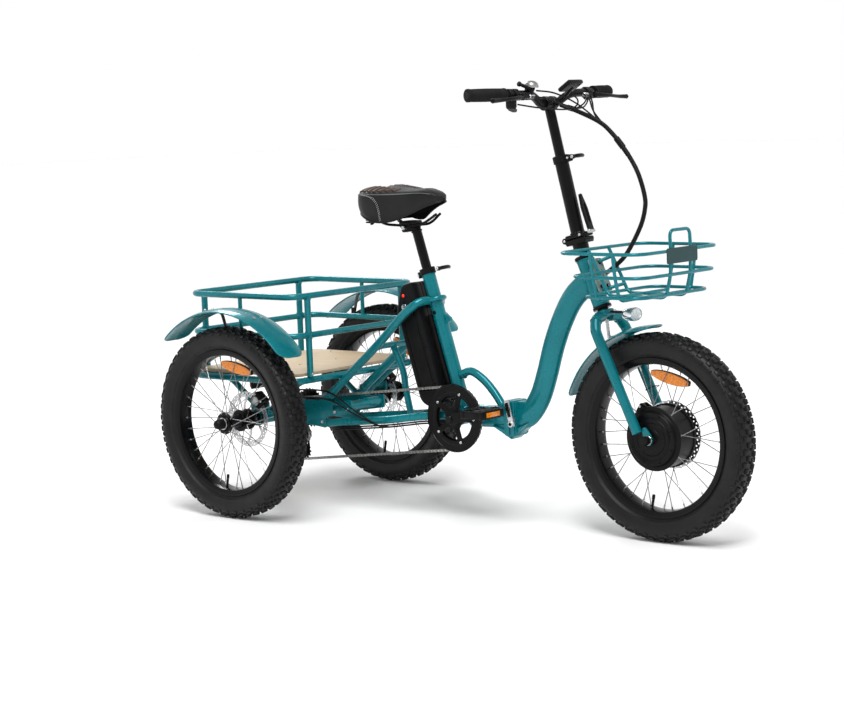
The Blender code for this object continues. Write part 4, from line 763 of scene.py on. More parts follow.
def tyre(piece, place):
    """The carcass and its rows of raised knobs."""
    inside = [(0.205, -0.0238), (0.242, -0.034), (0.242, 0.034), (0.205, 0.0238)]
    profile = both_sides(TYRE_PROFILE) + inside
    piece.add(revolve(profile, place, 96), "rubber")
    for side in (-1, 1):
        for y, radius, tilt, across, along, phase, height in TREAD_ROWS:
            lean = math.radians(tilt)
            for i in range(KNOBS):
                turn = 2 * math.pi * (i + phase + (0.25 if side > 0 else 0.0)) / KNOBS
                out = Vector((math.cos(turn), math.sin(turn), 0.0))
                along_way = Vector((-math.sin(turn), math.cos(turn), 0.0))
                normal = out * math.cos(lean) + Vector((0, 0, side)) * math.sin(lean)
                sideways = Vector((0, 0, side)) * math.cos(lean) - out * math.sin(lean)
                foot = out * radius + Vector((0, 0, side * y))
                corners = []
                for lift, scale in ((-0.0012, 1.15), (height - 0.0008, 0.96), (height, 0.78)):
                    for a, b in ((-1, -1), (1, -1), (1, 1), (-1, 1)):
                        step = sideways * a * across * scale + along_way * b * along * scale
                        corners.append(place @ (foot + normal * lift + step))
                faces = []
                for low in (0, 4):
                    high = low + 4
                    faces += [[low + k, low + (k + 1) % 4, high + (k + 1) % 4, high + k] for k in range(4)]
                piece.add((corners, faces + [[8, 9, 10, 11]]), "rubber")


def rim(piece, place, spoke_ends):
    """The rim with its nipples and its valve."""
    half = [(0.204, 0.0236), (0.2096, 0.024), (0.2106, 0.0256), (0.2094, 0.0274), (0.205, 0.0272)]
    half += [(0.199, 0.0262), (0.193, 0.0234), (0.191, 0.016), (0.1904, 0.008), (0.1902, 0.0)]
    well = [(0.1985, -0.014), (0.1985, 0.014)]
    piece.add(revolve(both_sides(half) + well, place, 96), "black_gloss")
    for end, along in spoke_ends:
        piece.add(rod(end + along * 0.001, end - along * 0.0125, 0.0021, 8, 0.0006), "steel")
    stem = polar(place, 1.0, math.radians(100), 0.0) - polar(place, 0.0, 0.0, 0.0)
    foot = polar(place, 0.1915, math.radians(100), 0.0)
    piece.add(rod(foot, foot - stem * 0.022, 0.0036, 16, 0.001), "black_plastic")
    piece.add(rod(foot - stem * 0.022, foot - stem * 0.036, 0.0042, 12, 0.0014), "black_plastic")


SPOKES = 36


def spokes(piece, place, hub_radius, hub_offset, lean):
    """Crossed spokes, and where each one ends at the rim."""
    ends = []
    for i in range(SPOKES):
        side = 1 if i % 2 else -1
        cross = 1 if (i // 2) % 2 else -1
        rim_turn = 2 * math.pi * i / SPOKES
        start = polar(place, hub_radius, rim_turn + cross * lean, side * hub_offset)
        end = polar(place, 0.1905, rim_turn, side * 0.004)
        along = (end - start).normalized()
        piece.add(sweep([start, end - along * 0.004], 0.00115, 8), "spoke")
        piece.add(bolt(start + Y * side * 0.0012, Y * side, 0.0022, 0.0012, 8), "spoke")
        ends.append((end, along))
    return ends


ROTOR_ARMS = 6
ROTOR_EDGE_POINTS = 120


def on_circle(radius, turn):
    return radius * math.cos(turn), radius * math.sin(turn)


def rotor(radius, inner, place):
    """The slotted steel disc of a disc brake: a drilled ring on leaning arms."""
    holes = []
    pairs = ROTOR_ARMS * 5
    for i in range(pairs):
        turn = 2 * math.pi * i / pairs
        holes.append(circle(0.0026, 10, on_circle(radius - 0.0052, turn)))
        holes.append(circle(0.0024, 10, on_circle(radius - 0.0105, turn + math.pi / pairs)))
    outline = []
    for i in range(ROTOR_EDGE_POINTS):
        outline.append(on_circle(radius - 0.001 * (i % 4 > 1), 2 * math.pi * i / ROTOR_EDGE_POINTS))
    parts = [slab([outline, circle(radius - 0.0155, 72)] + holes, 0.0018, place, 0.0002)]
    for i in range(ROTOR_ARMS):
        first = 2 * math.pi * i / ROTOR_ARMS
        last = first + 0.55
        middle = (first + last) / 2
        arm = ((inner, first, 0.005), (radius * 0.55, middle, 0.0034), (radius - 0.015, last, 0.0052))
        left = [on_circle(r, t + w / r) for r, t, w in arm]
        right = [on_circle(r, t - w / r) for r, t, w in arm]
        parts.append(prism(left + right[::-1], -0.0009, 0.0009, place))
    return parts


REFLECTOR_RADIUS = 0.16


def reflector(piece, place, turn):
    """An amber reflector clipped between the spokes."""
    middle = polar(place, REFLECTOR_RADIUS, turn, 0.0)
    tangent = (polar(place, REFLECTOR_RADIUS, turn + 0.01, 0.0) - middle).normalized()
    seat = frame_at(middle, Y, tangent)
    # The amber face uses the amber lens, with its slight painted glow.
    for half, tall, thick, finish in (
        (0.06, 0.0165, 0.01, "black_plastic"), (0.0585, 0.0155, 0.015, "amber")
    ):
        upper = [(x * half, tall * (1 - 0.62 * abs(x) ** 2.4)) for x in spread(1, -1, 17)]
        outline = rounded(upper + [(x, -y * 0.85) for x, y in upper[::-1]], 0.002, 2)
        piece.add(slab([outline], thick, seat, 0.0016), finish)


def rear_wheels():
    for name, side in SIDES.items():
        body = f"rear_wheel_{name}"
        place = axle_place(0.0, side * HALF_TRACK)
        piece = Shape(f"{name}_tyre", body, f"tyre_{name}", slot="tyre_rubber")
        tyre(piece, place)
        piece.make(50)
        piece = Shape(f"{name}_hub_and_spokes", body, f"hub_and_spokes_{name}", slot="black_metal")
        ends = spokes(piece, place, 0.0285, 0.0295, 0.55)
        half = [
            (0.0125, 0.036), (0.0195, 0.036), (0.0205, 0.0345), (0.0215, 0.032), (0.031, 0.0315),
            (0.0314, 0.03)
        ]
        half += [(0.0308, 0.0276), (0.022, 0.0268), (0.0175, 0.02), (0.0165, 0.0)]
        piece.add(revolve(both_sides(half), place, 48), "black_gloss")
        reflector(piece, place, math.radians(-79 if side < 0 else -60))
        piece.make()
        piece = Shape(f"{name}_rim", body, f"rim_{name}", slot="black_metal")
        rim(piece, place, ends)
        piece.make()
        disc = axle_place(0.0, side * 0.278)
        piece = Shape(f"{name}_brake_disc", body, f"brake_rotor_{name}", slot="steel")
        for part in rotor(0.08, 0.026, disc):
            piece.add(part, "steel")
        piece.add(
            sleeve((0, side * 0.2742, AXLE_Z), (0, side * 0.2815, AXLE_Z), 0.03, 0.0122), "black_metal"
        )
        piece.add(
            sleeve((0, side * 0.2815, AXLE_Z), (0, side * 0.302, AXLE_Z), 0.0218, 0.0122), "black_metal"
        )
        for i in range(6):
            spot = polar(disc, 0.0225, math.radians(60 * i + 30), 0.0)
            piece.add(bolt(Vector((spot.x, side * 0.2742, spot.z)), -Y * side, 0.0036, 0.0022), "steel")
        piece.make()
        piece = Shape(f"{name}_half_axle", body, f"axle_shaft_{name}", slot="steel")
        piece.add(rod((0, side * 0.004, AXLE_Z), (0, side * 0.3785, AXLE_Z), 0.0114, 28, 0.001), "steel")
        piece.add(sleeve((0, side * 0.3765, AXLE_Z), (0, side * 0.38, AXLE_Z), 0.0172, 0.011), "steel")
        cap = [
            (0, 0), (0.0145, 0), (0.015, 0.004), (0.0142, 0.016), (0.011, 0.024), (0.006, 0.0275),
            (0, 0.028)
        ]
        piece.add(revolve(cap, frame_at((0, side * 0.3798, AXLE_Z), Y * side), 28), "black_plastic")
        piece.make()


def front_wheel():
    place = axle_place(WHEELBASE, 0.0)
    piece = Shape("front_tyre", "front_wheel", "tyre_front", slot="tyre_rubber")
    tyre(piece, place)
    piece.make(50)
    piece = Shape("front_hub_motor", "front_wheel", "hub_motor", slot="black_metal")
    ends = spokes(piece, place, 0.0818, 0.033, 0.2)
    half = [
        (0.027, 0.0492), (0.0282, 0.0478), (0.03, 0.047), (0.042, 0.047), (0.0428, 0.046), (0.044, 0.047)
    ]
    half += [
        (0.054, 0.047), (0.0552, 0.0458), (0.0566, 0.0466), (0.069, 0.0464), (0.0706, 0.045),
        (0.0716, 0.041)
    ]
    half += [
        (0.0745, 0.0372), (0.083, 0.0362), (0.0842, 0.035), (0.0842, 0.031), (0.083, 0.03),
        (0.0805, 0.0292)
    ]
    half += [(0.0802, 0.0)]
    motor = [(0.0076, 0.0466), (0.026, 0.0466)] + half[2:] + [(r, -y) for r, y in half[-2::-1]]
    motor += [(0.024, -0.0496), (0.012, -0.05), (0.0076, -0.048)]
    piece.add(revolve(motor, place, 72), "black_metal")
    for side in (-1, 1):
        for i in range(8):
            spot = polar(place, 0.0635, 2 * math.pi * (i + 0.5) / 8, side * 0.0464)
            piece.add(bolt(spot, Y * side, 0.0034, 0.002), "black_gloss")
    reflector(piece, place, math.radians(-78))
    piece.make()
    piece = Shape("front_rim", "front_wheel", "rim_front", slot="black_metal")
    rim(piece, place, ends)
    piece.make()
    piece = Shape("front_brake_disc", "front_wheel", "brake_rotor_front", slot="steel")
    disc = axle_place(WHEELBASE, 0.0489)
    for part in rotor(0.09, 0.024, disc):
        piece.add(part, "steel")
    piece.add(sleeve((WHEELBASE, 0.048, AXLE_Z), (WHEELBASE, 0.0502, AXLE_Z), 0.028, 0.015), "steel")
    for i in range(6):
        spot = polar(disc, 0.0222, math.radians(60 * i + 30), 0.0013)
        piece.add(bolt(spot, Y, 0.0034, 0.002), "black_metal")
    piece.make()


# ---------------------------------------------------------------- rear frame
def seat_tube():
    piece = Shape("seat_tube_with_shell", "rear_frame", "seat_tube", slot="teal_paint")
    piece.add(sleeve(on_seat(0.0165), on_seat(0.4225), 0.019, 0.0152), "teal")
    piece.add(
        sleeve((BOTTOM_BRACKET.x, -0.033, 0.286), (BOTTOM_BRACKET.x, 0.033, 0.286), 0.0225, 0.012), "teal"
    )
    for side in (-1, 1):
        cup = BOTTOM_BRACKET + Y * side * 0.0325
        piece.add(sleeve(cup, cup + Y * side * 0.004, 0.0205, 0.01), "black_metal")
    piece.add(weld(on_seat(0.022), SEAT_UP, 0.019), "teal")
    rail = frame_at(on_seat(0.18, 0.0245), SEAT_UP, X)
    piece.add(cuboid((0.016, 0.034, 0.24), rail, 0.003), "black_plastic")
    piece.add(sleeve(on_seat(0.41), on_seat(0.427), 0.0224, 0.0154), "black_metal")
    ear = frame_at(on_seat(0.415, 0.0262), SEAT_UP, X)
    for side in (-1, 1):
        piece.add(cuboid((0.012, 0.006, 0.018), ear @ at(0, side * 0.0052, 0), 0.0018), "black_metal")
    piece.add(rod(on_seat(0.415, 0.028, -0.012), on_seat(0.415, 0.028, 0.012), 0.003), "steel")
    piece.add(bolt(on_seat(0.3, 0.0, -0.0188), -Y, 0.0052, 0.004), "black_metal")
    loop = []
    for i in range(15):
        turn = math.radians(-100 + 200 * i / 14)
        loop.append(on_seat(0.336, -0.02 * math.cos(turn) - 0.005, 0.0235 * math.sin(turn)))
    piece.add(sweep(loop, 0.007, 14), "teal")
    piece.add(weld(on_seat(0.315), SEAT_UP, 0.0188, 0.0016), "teal")
    lug = [(0.0, 0.002), (0.015, 0.006), (0.017, 0.017), (0.0, 0.027)]
    piece.add(prism(lug, -0.004, 0.004, frame_at(on_seat(0.262, -0.017), -Y, X)), "teal")
    piece.make()


def main_tube():
    piece = Shape("main_tube_with_hinge", "rear_frame", "main_tube", slot="teal_paint")
    path = [(BOTTOM_BRACKET.x + 0.02, 0, 0.2884), (0.68, 0, 0.2905), (0.744, 0, 0.293)]
    piece.add(sweep(path, 1.0, section=lambda t: oval(0.021, 0.031)), "teal")
    brace = route(
        [(0.57, 0, 0.4005), (0.605, 0, 0.411), (0.648, 0, 0.39), (0.685, 0, 0.356), (0.715, 0, 0.3185)]
    )
    piece.add(sweep(brace, 0.0115, 22), "teal")
    piece.add(weld(brace[1] + Vector((0.004, 0, 0)), brace[2] - brace[0], 0.0115, 0.002), "teal")
    piece.add(weld(brace[-2], brace[-1] - brace[-3], 0.0118, 0.002), "teal")
    piece.add(cuboid((0.016, 0.062, 0.098), at(0.7485, 0, 0.293), 0.0035, 3), "teal")
    piece.add(cuboid((0.004, 0.056, 0.09), at(0.738, 0, 0.293), 0.0015, 2), "teal")
    for low, high in ((0.248, 0.27), (0.316, 0.338)):
        piece.add(rod((0.757, 0.034, low), (0.757, 0.034, high), 0.0085, 28, 0.0008), "teal")
        piece.add(
            cuboid((0.013, 0.012, high - low - 0.001), at(0.75, 0.029, (low + high) / 2), 0.002), "teal"
        )
    for z, up in ((0.248, -1), (0.338, 1)):
        piece.add(bolt((0.757, 0.034, z), Z * up, 0.0058, 0.003), "steel")
    piece.add(bolt((0.7, -0.0205, 0.2915), -Y, 0.004, 0.0022), "black_metal")
    gusset = rounded([(0.7, 0.268), (0.742, 0.246), (0.742, 0.34), (0.7, 0.318)], 0.004)
    piece.add(slab([gusset], 0.03, upright(0, 0, 0), 0.003), "teal")
    piece.add(
        slab([[(0.69, 0.268), (0.7564, 0.235), (0.7564, 0.256)]], 0.046, upright(0, 0, 0), 0.0012), "teal"
    )
    piece.make()


STAY_TOP = [(0.4768, 0.0192, 0.606), (0.464, 0.045, 0.603), (0.448, 0.062, 0.589), (0.415, 0.069, 0.562)]
STAY_TOP += [(0.33, 0.0705, 0.485), (0.21, 0.0705, 0.388), (0.13, 0.0705, 0.324)]
CHAIN_STAY = [(0.5582, 0.0145, 0.286), (0.52, 0.024, 0.285), (0.47, 0.038, 0.282), (0.41, 0.056, 0.275)]
CHAIN_STAY += [(0.34, 0.0705, 0.266), (0.15, 0.0705, 0.246), (0.1165, 0.0705, 0.2425)]


def stays():
    for name, side in SIDES.items():
        piece = Shape(f"{name}_seat_stay", "rear_frame", f"seatstay_{name}", slot="teal_paint")
        path = route(mirrored(STAY_TOP, side))
        piece.add(sweep(path, 0.012, 22), "teal")
        piece.add(
            weld(path[-1] + (path[-2] - path[-1]).normalized() * 0.006, path[-1] - path[-2], 0.012),
            "teal"
        )
        piece.make()
        piece = Shape(f"{name}_chain_stay", "rear_frame", f"chainstay_{name}", slot="teal_paint")
        path = route(mirrored(CHAIN_STAY, side))
        piece.add(sweep(path, 0.01104, 22), "teal")
        piece.add(
            weld(path[-1] + (path[-2] - path[-1]).normalized() * 0.005, path[-1] - path[-2], 0.0112),
            "teal"
        )
        if side < 0:
            for drop in (0.0, 0.006):
                run = [
                    (0.15, -0.0705, 0.231 - drop), (0.34, -0.0705, 0.251 - drop),
                    (0.41, -0.056, 0.26 - drop)
                ]
                run += [(0.47, -0.038, 0.267 - drop), (0.53, -0.02, 0.263 - drop)]
                piece.add(sweep(route(run), 0.0024, 8), "cable")
            for rise in (0.0, 0.022):
                run = [
                    (0.04, -0.23, 0.33 + rise), (0.09, -0.15, 0.326 + rise), (0.14, -0.084, 0.312 + rise)
                ]
                run += [(0.24, -0.085, 0.276 + rise / 2), (0.32, -0.083, 0.252), (0.36, -0.076, 0.248)]
                piece.add(sweep(route(run), 0.0024, 8), "cable")
        piece.make()


PLATE = [(-0.03, 0.245), (0.0, 0.238), (0.112, 0.227), (0.114, 0.26), (0.215, 0.276), (0.215, 0.314)]
PLATE += [
    (0.137, 0.306), (0.1285, 0.316), (0.1205, 0.325), (0.108, 0.322), (0.092, 0.308), (-0.03, 0.304)
]
PLATE_WINDOW = [(0.135, 0.28), (0.135, 0.296), (0.18, 0.299), (0.18, 0.284)]


def rounded(outline, radius, steps=4):
    """The outline with its corners rounded."""
    points = [Vector((x, y, 0.0)) for x, y in outline]
    out = []
    for i, corner in enumerate(points):
        a, b = points[i - 1] - corner, points[(i + 1) % len(points)] - corner
        reach = min(radius, a.length * 0.45, b.length * 0.45)
        start, end = corner + a.normalized() * reach, corner + b.normalized() * reach
        for step in range(steps + 1):
            t = step / steps
            point = start * (1 - t) ** 2 + corner * 2 * t * (1 - t) + end * t**2
            out.append((point.x, point.y))
    return out


def axle_carrier():
    piece = Shape("rear_axle_carrier", "rear_frame", "axle_carrier", slot="teal_paint")
    slot_low, slot_high = -0.059, -0.009
    for low, high in ((-0.245, slot_low), (slot_high, 0.245)):
        piece.add(sleeve((0, low, AXLE_Z), (0, high, AXLE_Z), 0.021, 0.0165), "teal")
    for side in (-1, 1):
        stand = upright(0, side * 0.0705, 0)
        piece.add(
            slab([rounded(PLATE, 0.006), rounded(PLATE_WINDOW, 0.006)], 0.006, stand, 0.0008), "teal"
        )
        piece.add(weld((0, side * 0.0755, AXLE_Z), Y, 0.0212), "teal")
        for x, z in ((0.1, 0.245), (0.15, 0.276), (0.2, 0.287), (-0.018, 0.292)):
            piece.add(bolt((x, side * 0.0737, z), Y * side, 0.005, 0.0035), "steel")
        foot = at(0.028, side * 0.2442, 0.306)
        piece.add(cuboid((0.07, 0.009, 0.036), foot @ at(0, side * 0.0088, 0), 0.003), "teal")
        piece.add(cuboid((0.07, 0.0265, 0.008), foot @ at(0, 0, -0.014), 0.002), "teal")
        piece.add(weld((0, side * 0.244, AXLE_Z), Y, 0.0212), "teal")
        piece.add(
            sleeve((0, side * 0.23, AXLE_Z), (0, side * 0.245, AXLE_Z), 0.024, 0.016), "black_metal"
        )
    piece.add(rod((0.196, -0.0675, 0.295), (0.196, 0.0675, 0.295), 0.014, 24), "teal")
    piece.make()


def deck_frame():
    piece = Shape("deck_frame_tubes", "rear_frame", "deck_frame", slot="teal_paint")
    loop = level_loop(-0.234, 0.173, 0.2556, 0.386, 0.035)
    piece.add(sweep(loop, 0.0095, 20, cyclic=True), "teal")
    for side in (-1, 1):
        y = side * 0.205
        for path in (
            [(-0.165, y, 0.386), (-0.13, y, 0.372), (-0.0175, y, 0.2868)],
            [(0.165, y, 0.386), (0.13, y, 0.372), (0.0175, y, 0.2868)]
        ):
            piece.add(sweep(bent(path, 0.02), 0.009, 20), "teal")
            end = Vector(path[-1])
            piece.add(weld(end, end - Vector(path[-2]), 0.0092), "teal")
    for x in (-0.13, 0.02):
        piece.add(rod((x, -0.25, 0.386), (x, 0.25, 0.386), 0.0085), "teal")
        for side in (-1, 1):
            piece.add(weld((x, side * 0.245, 0.386), Y, 0.0087, 0.0018), "teal")
    piece.make()
    piece = Shape("birch_cargo_deck", "rear_frame", "cargo_deck", slot="plywood")
    board = rounded([(-0.227, -0.2496), (0.169, -0.2496), (0.169, 0.2496), (-0.227, 0.2496)], 0.03, 6)
    piece.add(slab([board], 0.01, at(0, 0, 0.403), 0.001), "plywood")
    for x in (-0.13, 0.02):
        for y in (-0.215, -0.075, 0.075, 0.215):
            piece.add(bolt((x, y, 0.4079), Z, 0.0048, 0.0014), "steel")
    piece.make()


def cargo_basket():
    piece = Shape("cargo_basket_tubes", "rear_frame", "cargo_basket", slot="teal_paint")
    for z in (0.6258, 0.5145):
        piece.add(sweep(level_loop(-0.238, 0.18, 0.2596, z, 0.045), 0.0088, 20, cyclic=True), "teal")
    for x in (-0.238, 0.18):
        for y in (-0.2, 0.2):
            piece.add(rod((x, y, 0.396), (x, y, 0.6258), 0.0092, 22, 0.0008), "teal")
            for z in (0.6165, 0.5235, 0.5055):
                piece.add(weld((x, y, z), Z, 0.0092, 0.0016), "teal")
            piece.add(
                bolt((x + (0.009 if x > 0 else -0.009), y, 0.404), X if x > 0 else -X, 0.0042, 0.003),
                "steel"
            )
    for y in (0.2596, -0.2596):
        piece.add(rod((-0.029, y, 0.5145), (-0.029, y, 0.6258), 0.006, 16), "teal")
    piece.make()


def arched_fender(piece, centre, radius, first, last, middle_y, half_width, drop, corner, finish):
    """A pressed fender: a shallow arch with rounded ends and a rolled edge all the way round."""
    length = radius * math.radians(last - first)
    near = [corner * (1 - math.cos(math.radians(a))) for a in (0, 12, 24, 36, 48, 60, 75, 90)]
    along = near + spread(corner, length - corner, 50)[1:-1] + [length - d for d in near[::-1]]
    verts, faces, rows, rims = [], [], [], ([], [])
    for distance in along:
        turn = math.radians(first) + distance / radius
        out = Vector((math.cos(turn), 0.0, math.sin(turn)))
        edge = min(distance, length - distance, corner)
        half = half_width - corner + math.sqrt(max(0.0, corner**2 - (corner - edge) ** 2))
        top = [(-1 + k / 6, -drop * abs((-1 + k / 6) * half / half_width) ** 3) for k in range(13)]
        row = []
        for shell, points in ((0.0, top), (-0.0025, top[::-1])):
            for s, lift in points:
                row.append(len(verts))
                verts.append(centre + out * (radius + lift + shell) + Y * (middle_y + s * half))
        rows.append(row)
        for side, rim_edge in zip((-1, 1), rims):
            low = radius + top[0][1] - 0.0012
            rim_edge.append(centre + out * low + Y * (middle_y + side * (half - 0.0012)))
    around = len(rows[0])
    for low, high in zip(rows, rows[1:]):
        for k in range(around):
            faces.append([low[k], low[(k + 1) % around], high[(k + 1) % around], high[k]])
    for row in (rows[0][::-1], rows[-1]):
        for k in range(around // 2 - 1):
            faces.append([row[k], row[k + 1], row[around - 2 - k], row[around - 1 - k]])
    piece.add((verts, faces), finish)
    ends = []
    for row in (rows[-1], rows[0]):
        ends.append([(verts[row[k]] + verts[row[around - 1 - k]]) / 2 for k in range(1, 12)])
    loop = rims[0] + ends[0] + rims[1][::-1] + ends[1][::-1]
    piece.add(sweep(loop, 0.002, 10, cyclic=True), finish)


def rear_fenders():
    centre = Vector((0, 0, AXLE_Z))
    for name, side in SIDES.items():
        piece = Shape(f"{name}_rear_fender", "rear_frame", f"fender_{name}", slot="teal_paint")
        arched_fender(piece, centre, 0.325, 38, 136, side * 0.34, 0.0475, 0.007, 0.032, "teal")
        for x in (-0.075, 0.12):
            height = math.sqrt(0.3205**2 - x * x) + AXLE_Z
            arm = bent(
                [
                    (x, side * 0.269, 0.5145), (x, side * 0.29, height - 0.004),
                    (x, side * 0.37, height - 0.002)
                ],
                0.015
            )
            piece.add(sweep(arm, 0.0045, 14), "dark_grey")
            seat = frame_at((x, side * 0.34, height + 0.0048), Vector((x, 0, height - AXLE_Z)), X)
            piece.add(cuboid((0.02, 0.046, 0.0022), seat @ at(0, 0, -0.0048), 0.0008), "black_metal")
            piece.add(cuboid((0.02, 0.0022, 0.04), at(x, side * 0.2694, 0.52), 0.0008), "black_metal")
            for y in (-0.014, 0.014):
                piece.add(
                    bolt(seat @ Vector((0, y, 0.001)), Vector((x, 0, height - AXLE_Z)), 0.0044, 0.0028),
                    "steel"
                )
        piece.make()


def caliper(piece, hub, radial, turn, low, high):
    """A cable disc-brake caliper astride the disc at the given turn about hub."""
    out = Vector((math.cos(turn), 0.0, math.sin(turn)))
    middle = hub + out * radial + Y * ((low + high) / 2)
    seat = frame_at(middle, Y, out)
    depth = abs(high - low)
    side = 1 if high > low else -1
    piece.add(
        cuboid((0.034, 0.044, depth * 0.4), seat @ at(0, 0, -0.28 * depth), 0.006, 3), "black_metal"
    )
    piece.add(cuboid((0.034, 0.044, depth * 0.4), seat @ at(0, 0, 0.28 * depth), 0.006, 3), "black_metal")
    piece.add(cuboid((0.012, 0.04, depth * 0.9), seat @ at(0.0105, 0, 0), 0.003, 2), "black_metal")
    for y in (-0.014, 0.014):
        for end in (-1, 1):
            piece.add(
                bolt(seat @ Vector((0.0105, y, end * 0.47 * depth)), Y * end, 0.004, 0.0026), "steel"
            )
    piece.add(
        revolve(
            [(0, 0), (0.013, 0), (0.013, 0.003), (0.009, 0.0055), (0, 0.0055)],
            frame_at(seat @ Vector((-0.002, 0, side * 0.47 * depth)), Y * side), 24
        ),
        "zinc"
    )


def rear_calipers():
    for name, side in SIDES.items():
        piece = Shape(f"{name}_brake_caliper", "rear_frame", f"brake_caliper_{name}", slot="black_metal")
        caliper(piece, Vector((0, 0, AXLE_Z)), 0.076, math.radians(50), side * 0.258, side * 0.292)
        piece.make()


def stay_bridge():
    """The upright tube behind the battery that ties the chain stays to the seat stays."""
    piece = Shape("stay_bridge_tube", "rear_frame", slot="teal_paint")
    piece.add(
        sweep(
            route([(0.377, 0, 0.279), (0.362, 0, 0.345), (0.353, 0, 0.401), (0.319, 0, 0.471)]), 0.0095,
            20
        ),
        "teal"
    )
    for x, z, half in ((0.319, 0.4735, 0.066), (0.38, 0.27, 0.058)):
        piece.add(rod((x, -half, z), (x, half, z), 0.0085, 20), "teal")
        for side in (-1, 1):
            piece.add(weld((x, side * (half - 0.004), z), Y, 0.0088, 0.0016), "teal")
    piece.add(weld((0.377, 0, 0.282), Z, 0.0097, 0.0016), "teal")
    piece.make()


def tail_light():
    piece = Shape("rear_tail_light", "rear_frame", "tail_light", slot="red_lens")
    piece.add(cuboid((0.01, 0.062, 0.03), at(-0.231, 0, 0.33), 0.004, 3), "black_plastic")
    piece.add(cuboid((0.012, 0.054, 0.022), at(-0.239, 0, 0.33), 0.005, 3), "red")
    piece.add(cuboid((0.003, 0.016, 0.048), at(-0.226, 0, 0.356), 0.001), "black_metal")
    piece.add(bolt((-0.228, 0, 0.366), -X, 0.0036, 0.002), "steel")
    piece.make()


# ---------------------------------------------------------------- drivetrain
CHAIN_PITCH = 0.0127


def belt(wheels, step=0.0015):
    """Points along a chain that runs round each (x, z, radius, sense) in turn."""
    contacts = []
    for (ax, az, ar, asense), (bx, bz, br, bsense) in zip(wheels, wheels[1:] + wheels[:1]):
        reach, heading = math.hypot(bx - ax, bz - az), math.atan2(bz - az, bx - ax)
        normal = heading + math.acos((bsense * br - asense * ar) / reach)
        nx, nz = math.cos(normal), math.sin(normal)
        contacts.append(
            (
                (ax - asense * ar * nx, az - asense * ar * nz),
                (bx - bsense * br * nx, bz - bsense * br * nz)
            )
        )
    points = []
    for i, (x, z, radius, sense) in enumerate(wheels):
        (sx, sz), (ex, ez) = contacts[i - 1][1], contacts[i][0]
        first, last = math.atan2(sz - z, sx - x), math.atan2(ez - z, ex - x)
        sweep_turn = (last - first) * sense % (2 * math.pi)
        count = max(2, int(sweep_turn * radius / step))
        for k in range(count + 1):
            turn = first + sense * sweep_turn * k / count
            points.append(Vector((x + radius * math.cos(turn), CHAIN_Y, z + radius * math.sin(turn))))
        start, end = Vector((ex, CHAIN_Y, ez)), Vector((contacts[i][1][0], CHAIN_Y, contacts[i][1][1]))
        runs = max(2, int((end - start).length / step))
        points += [start.lerp(end, k / runs) for k in range(1, runs)]
    return points


def even_stations(points, count):
    """Places at equal distances along a closed line."""
    loop = points + [points[0]]
    lengths = [0.0]
    for a, b in zip(loop, loop[1:]):
        lengths.append(lengths[-1] + (b - a).length)
    stations, k = [], 0
    for i in range(count):
        want = lengths[-1] * i / count
        while lengths[k + 1] < want:
            k += 1
        t = (want - lengths[k]) / max(lengths[k + 1] - lengths[k], 1e-9)
        stations.append(loop[k].lerp(loop[k + 1], t))
    return stations


def chain():
    wheels = [
        (BOTTOM_BRACKET.x, 0.286, 0.088, 1), (0.0, AXLE_Z, 0.033, 1), (0.0, 0.2, 0.0235, -1),
        (0.002, 0.148, 0.0235, 1)
    ]
    path = belt(wheels)
    length = sum((b - a).length for a, b in zip(path, path[1:] + path[:1]))
    count = round(length / CHAIN_PITCH / 2) * 2
    pins = even_stations(path, count)
    piece = Shape("roller_chain", "rear_frame", "chain", slot="steel")
    side_shape = [(-0.0102, 0.0), (-0.0095, 0.0028), (-0.0063, 0.0041), (0.0, 0.0027), (0.0063, 0.0041)]
    side_shape += [(0.0095, 0.0028), (0.0102, 0.0)]
    outline = side_shape + [(x, -z) for x, z in side_shape[-2:0:-1]]
    for i, pin in enumerate(pins):
        after = pins[(i + 1) % count]
        seat = frame_at((pin + after) / 2, Y, after - pin)
        gap = 0.0022 if i % 2 else 0.0031
        for side in (-1, 1):
            piece.add(prism(outline, side * gap - 0.0004, side * gap + 0.0004, seat), "chain")
        piece.add(rod(pin - Y * 0.0037, pin + Y * 0.0037, 0.0019, 10), "steel")
        piece.add(rod(pin - Y * 0.0018, pin + Y * 0.0018, 0.0037, 12), "chain")
    piece.make()


def toothed(teeth, root, tip):
    """The outline of a sprocket."""
    outline = []
    for i in range(teeth):
        for offset, radius in (
            (-0.36, root), (-0.16, tip - 0.0006), (0.0, tip), (0.16, tip - 0.0006), (0.36, root)
        ):
            turn = 2 * math.pi * (i + offset) / teeth
            outline.append((radius * math.cos(turn), radius * math.sin(turn)))
    return outline


def cassette():
    piece = Shape("sprocket_cassette", "sprocket_block", "cassette", slot="steel")
    for i, teeth in enumerate((14, 16, 18, 20, 22, 24, 28)):
        pitch = teeth * CHAIN_PITCH / (2 * math.pi)
        y = -0.0489 + 0.0052 * i
        holes = [circle(pitch * 0.13, 12, on_circle(pitch * 0.66, t)) for t in spread(0, 5.236, 6)]
        outlines = [toothed(teeth, pitch - 0.003, pitch + 0.0018), circle(0.0128, 32)]
        if teeth > 20:
            outlines += holes
        piece.add(slab(outlines, 0.0018, axle_place(0, y), 0.0002), "black_gloss")
        if i:
            piece.add(
                sleeve((0, y - 0.0043, AXLE_Z), (0, y - 0.0009, AXLE_Z), 0.02, 0.013), "black_metal"
            )
    piece.add(sleeve((0, -0.0525, AXLE_Z), (0, -0.0499, AXLE_Z), 0.018, 0.013), "steel")
    piece.make()


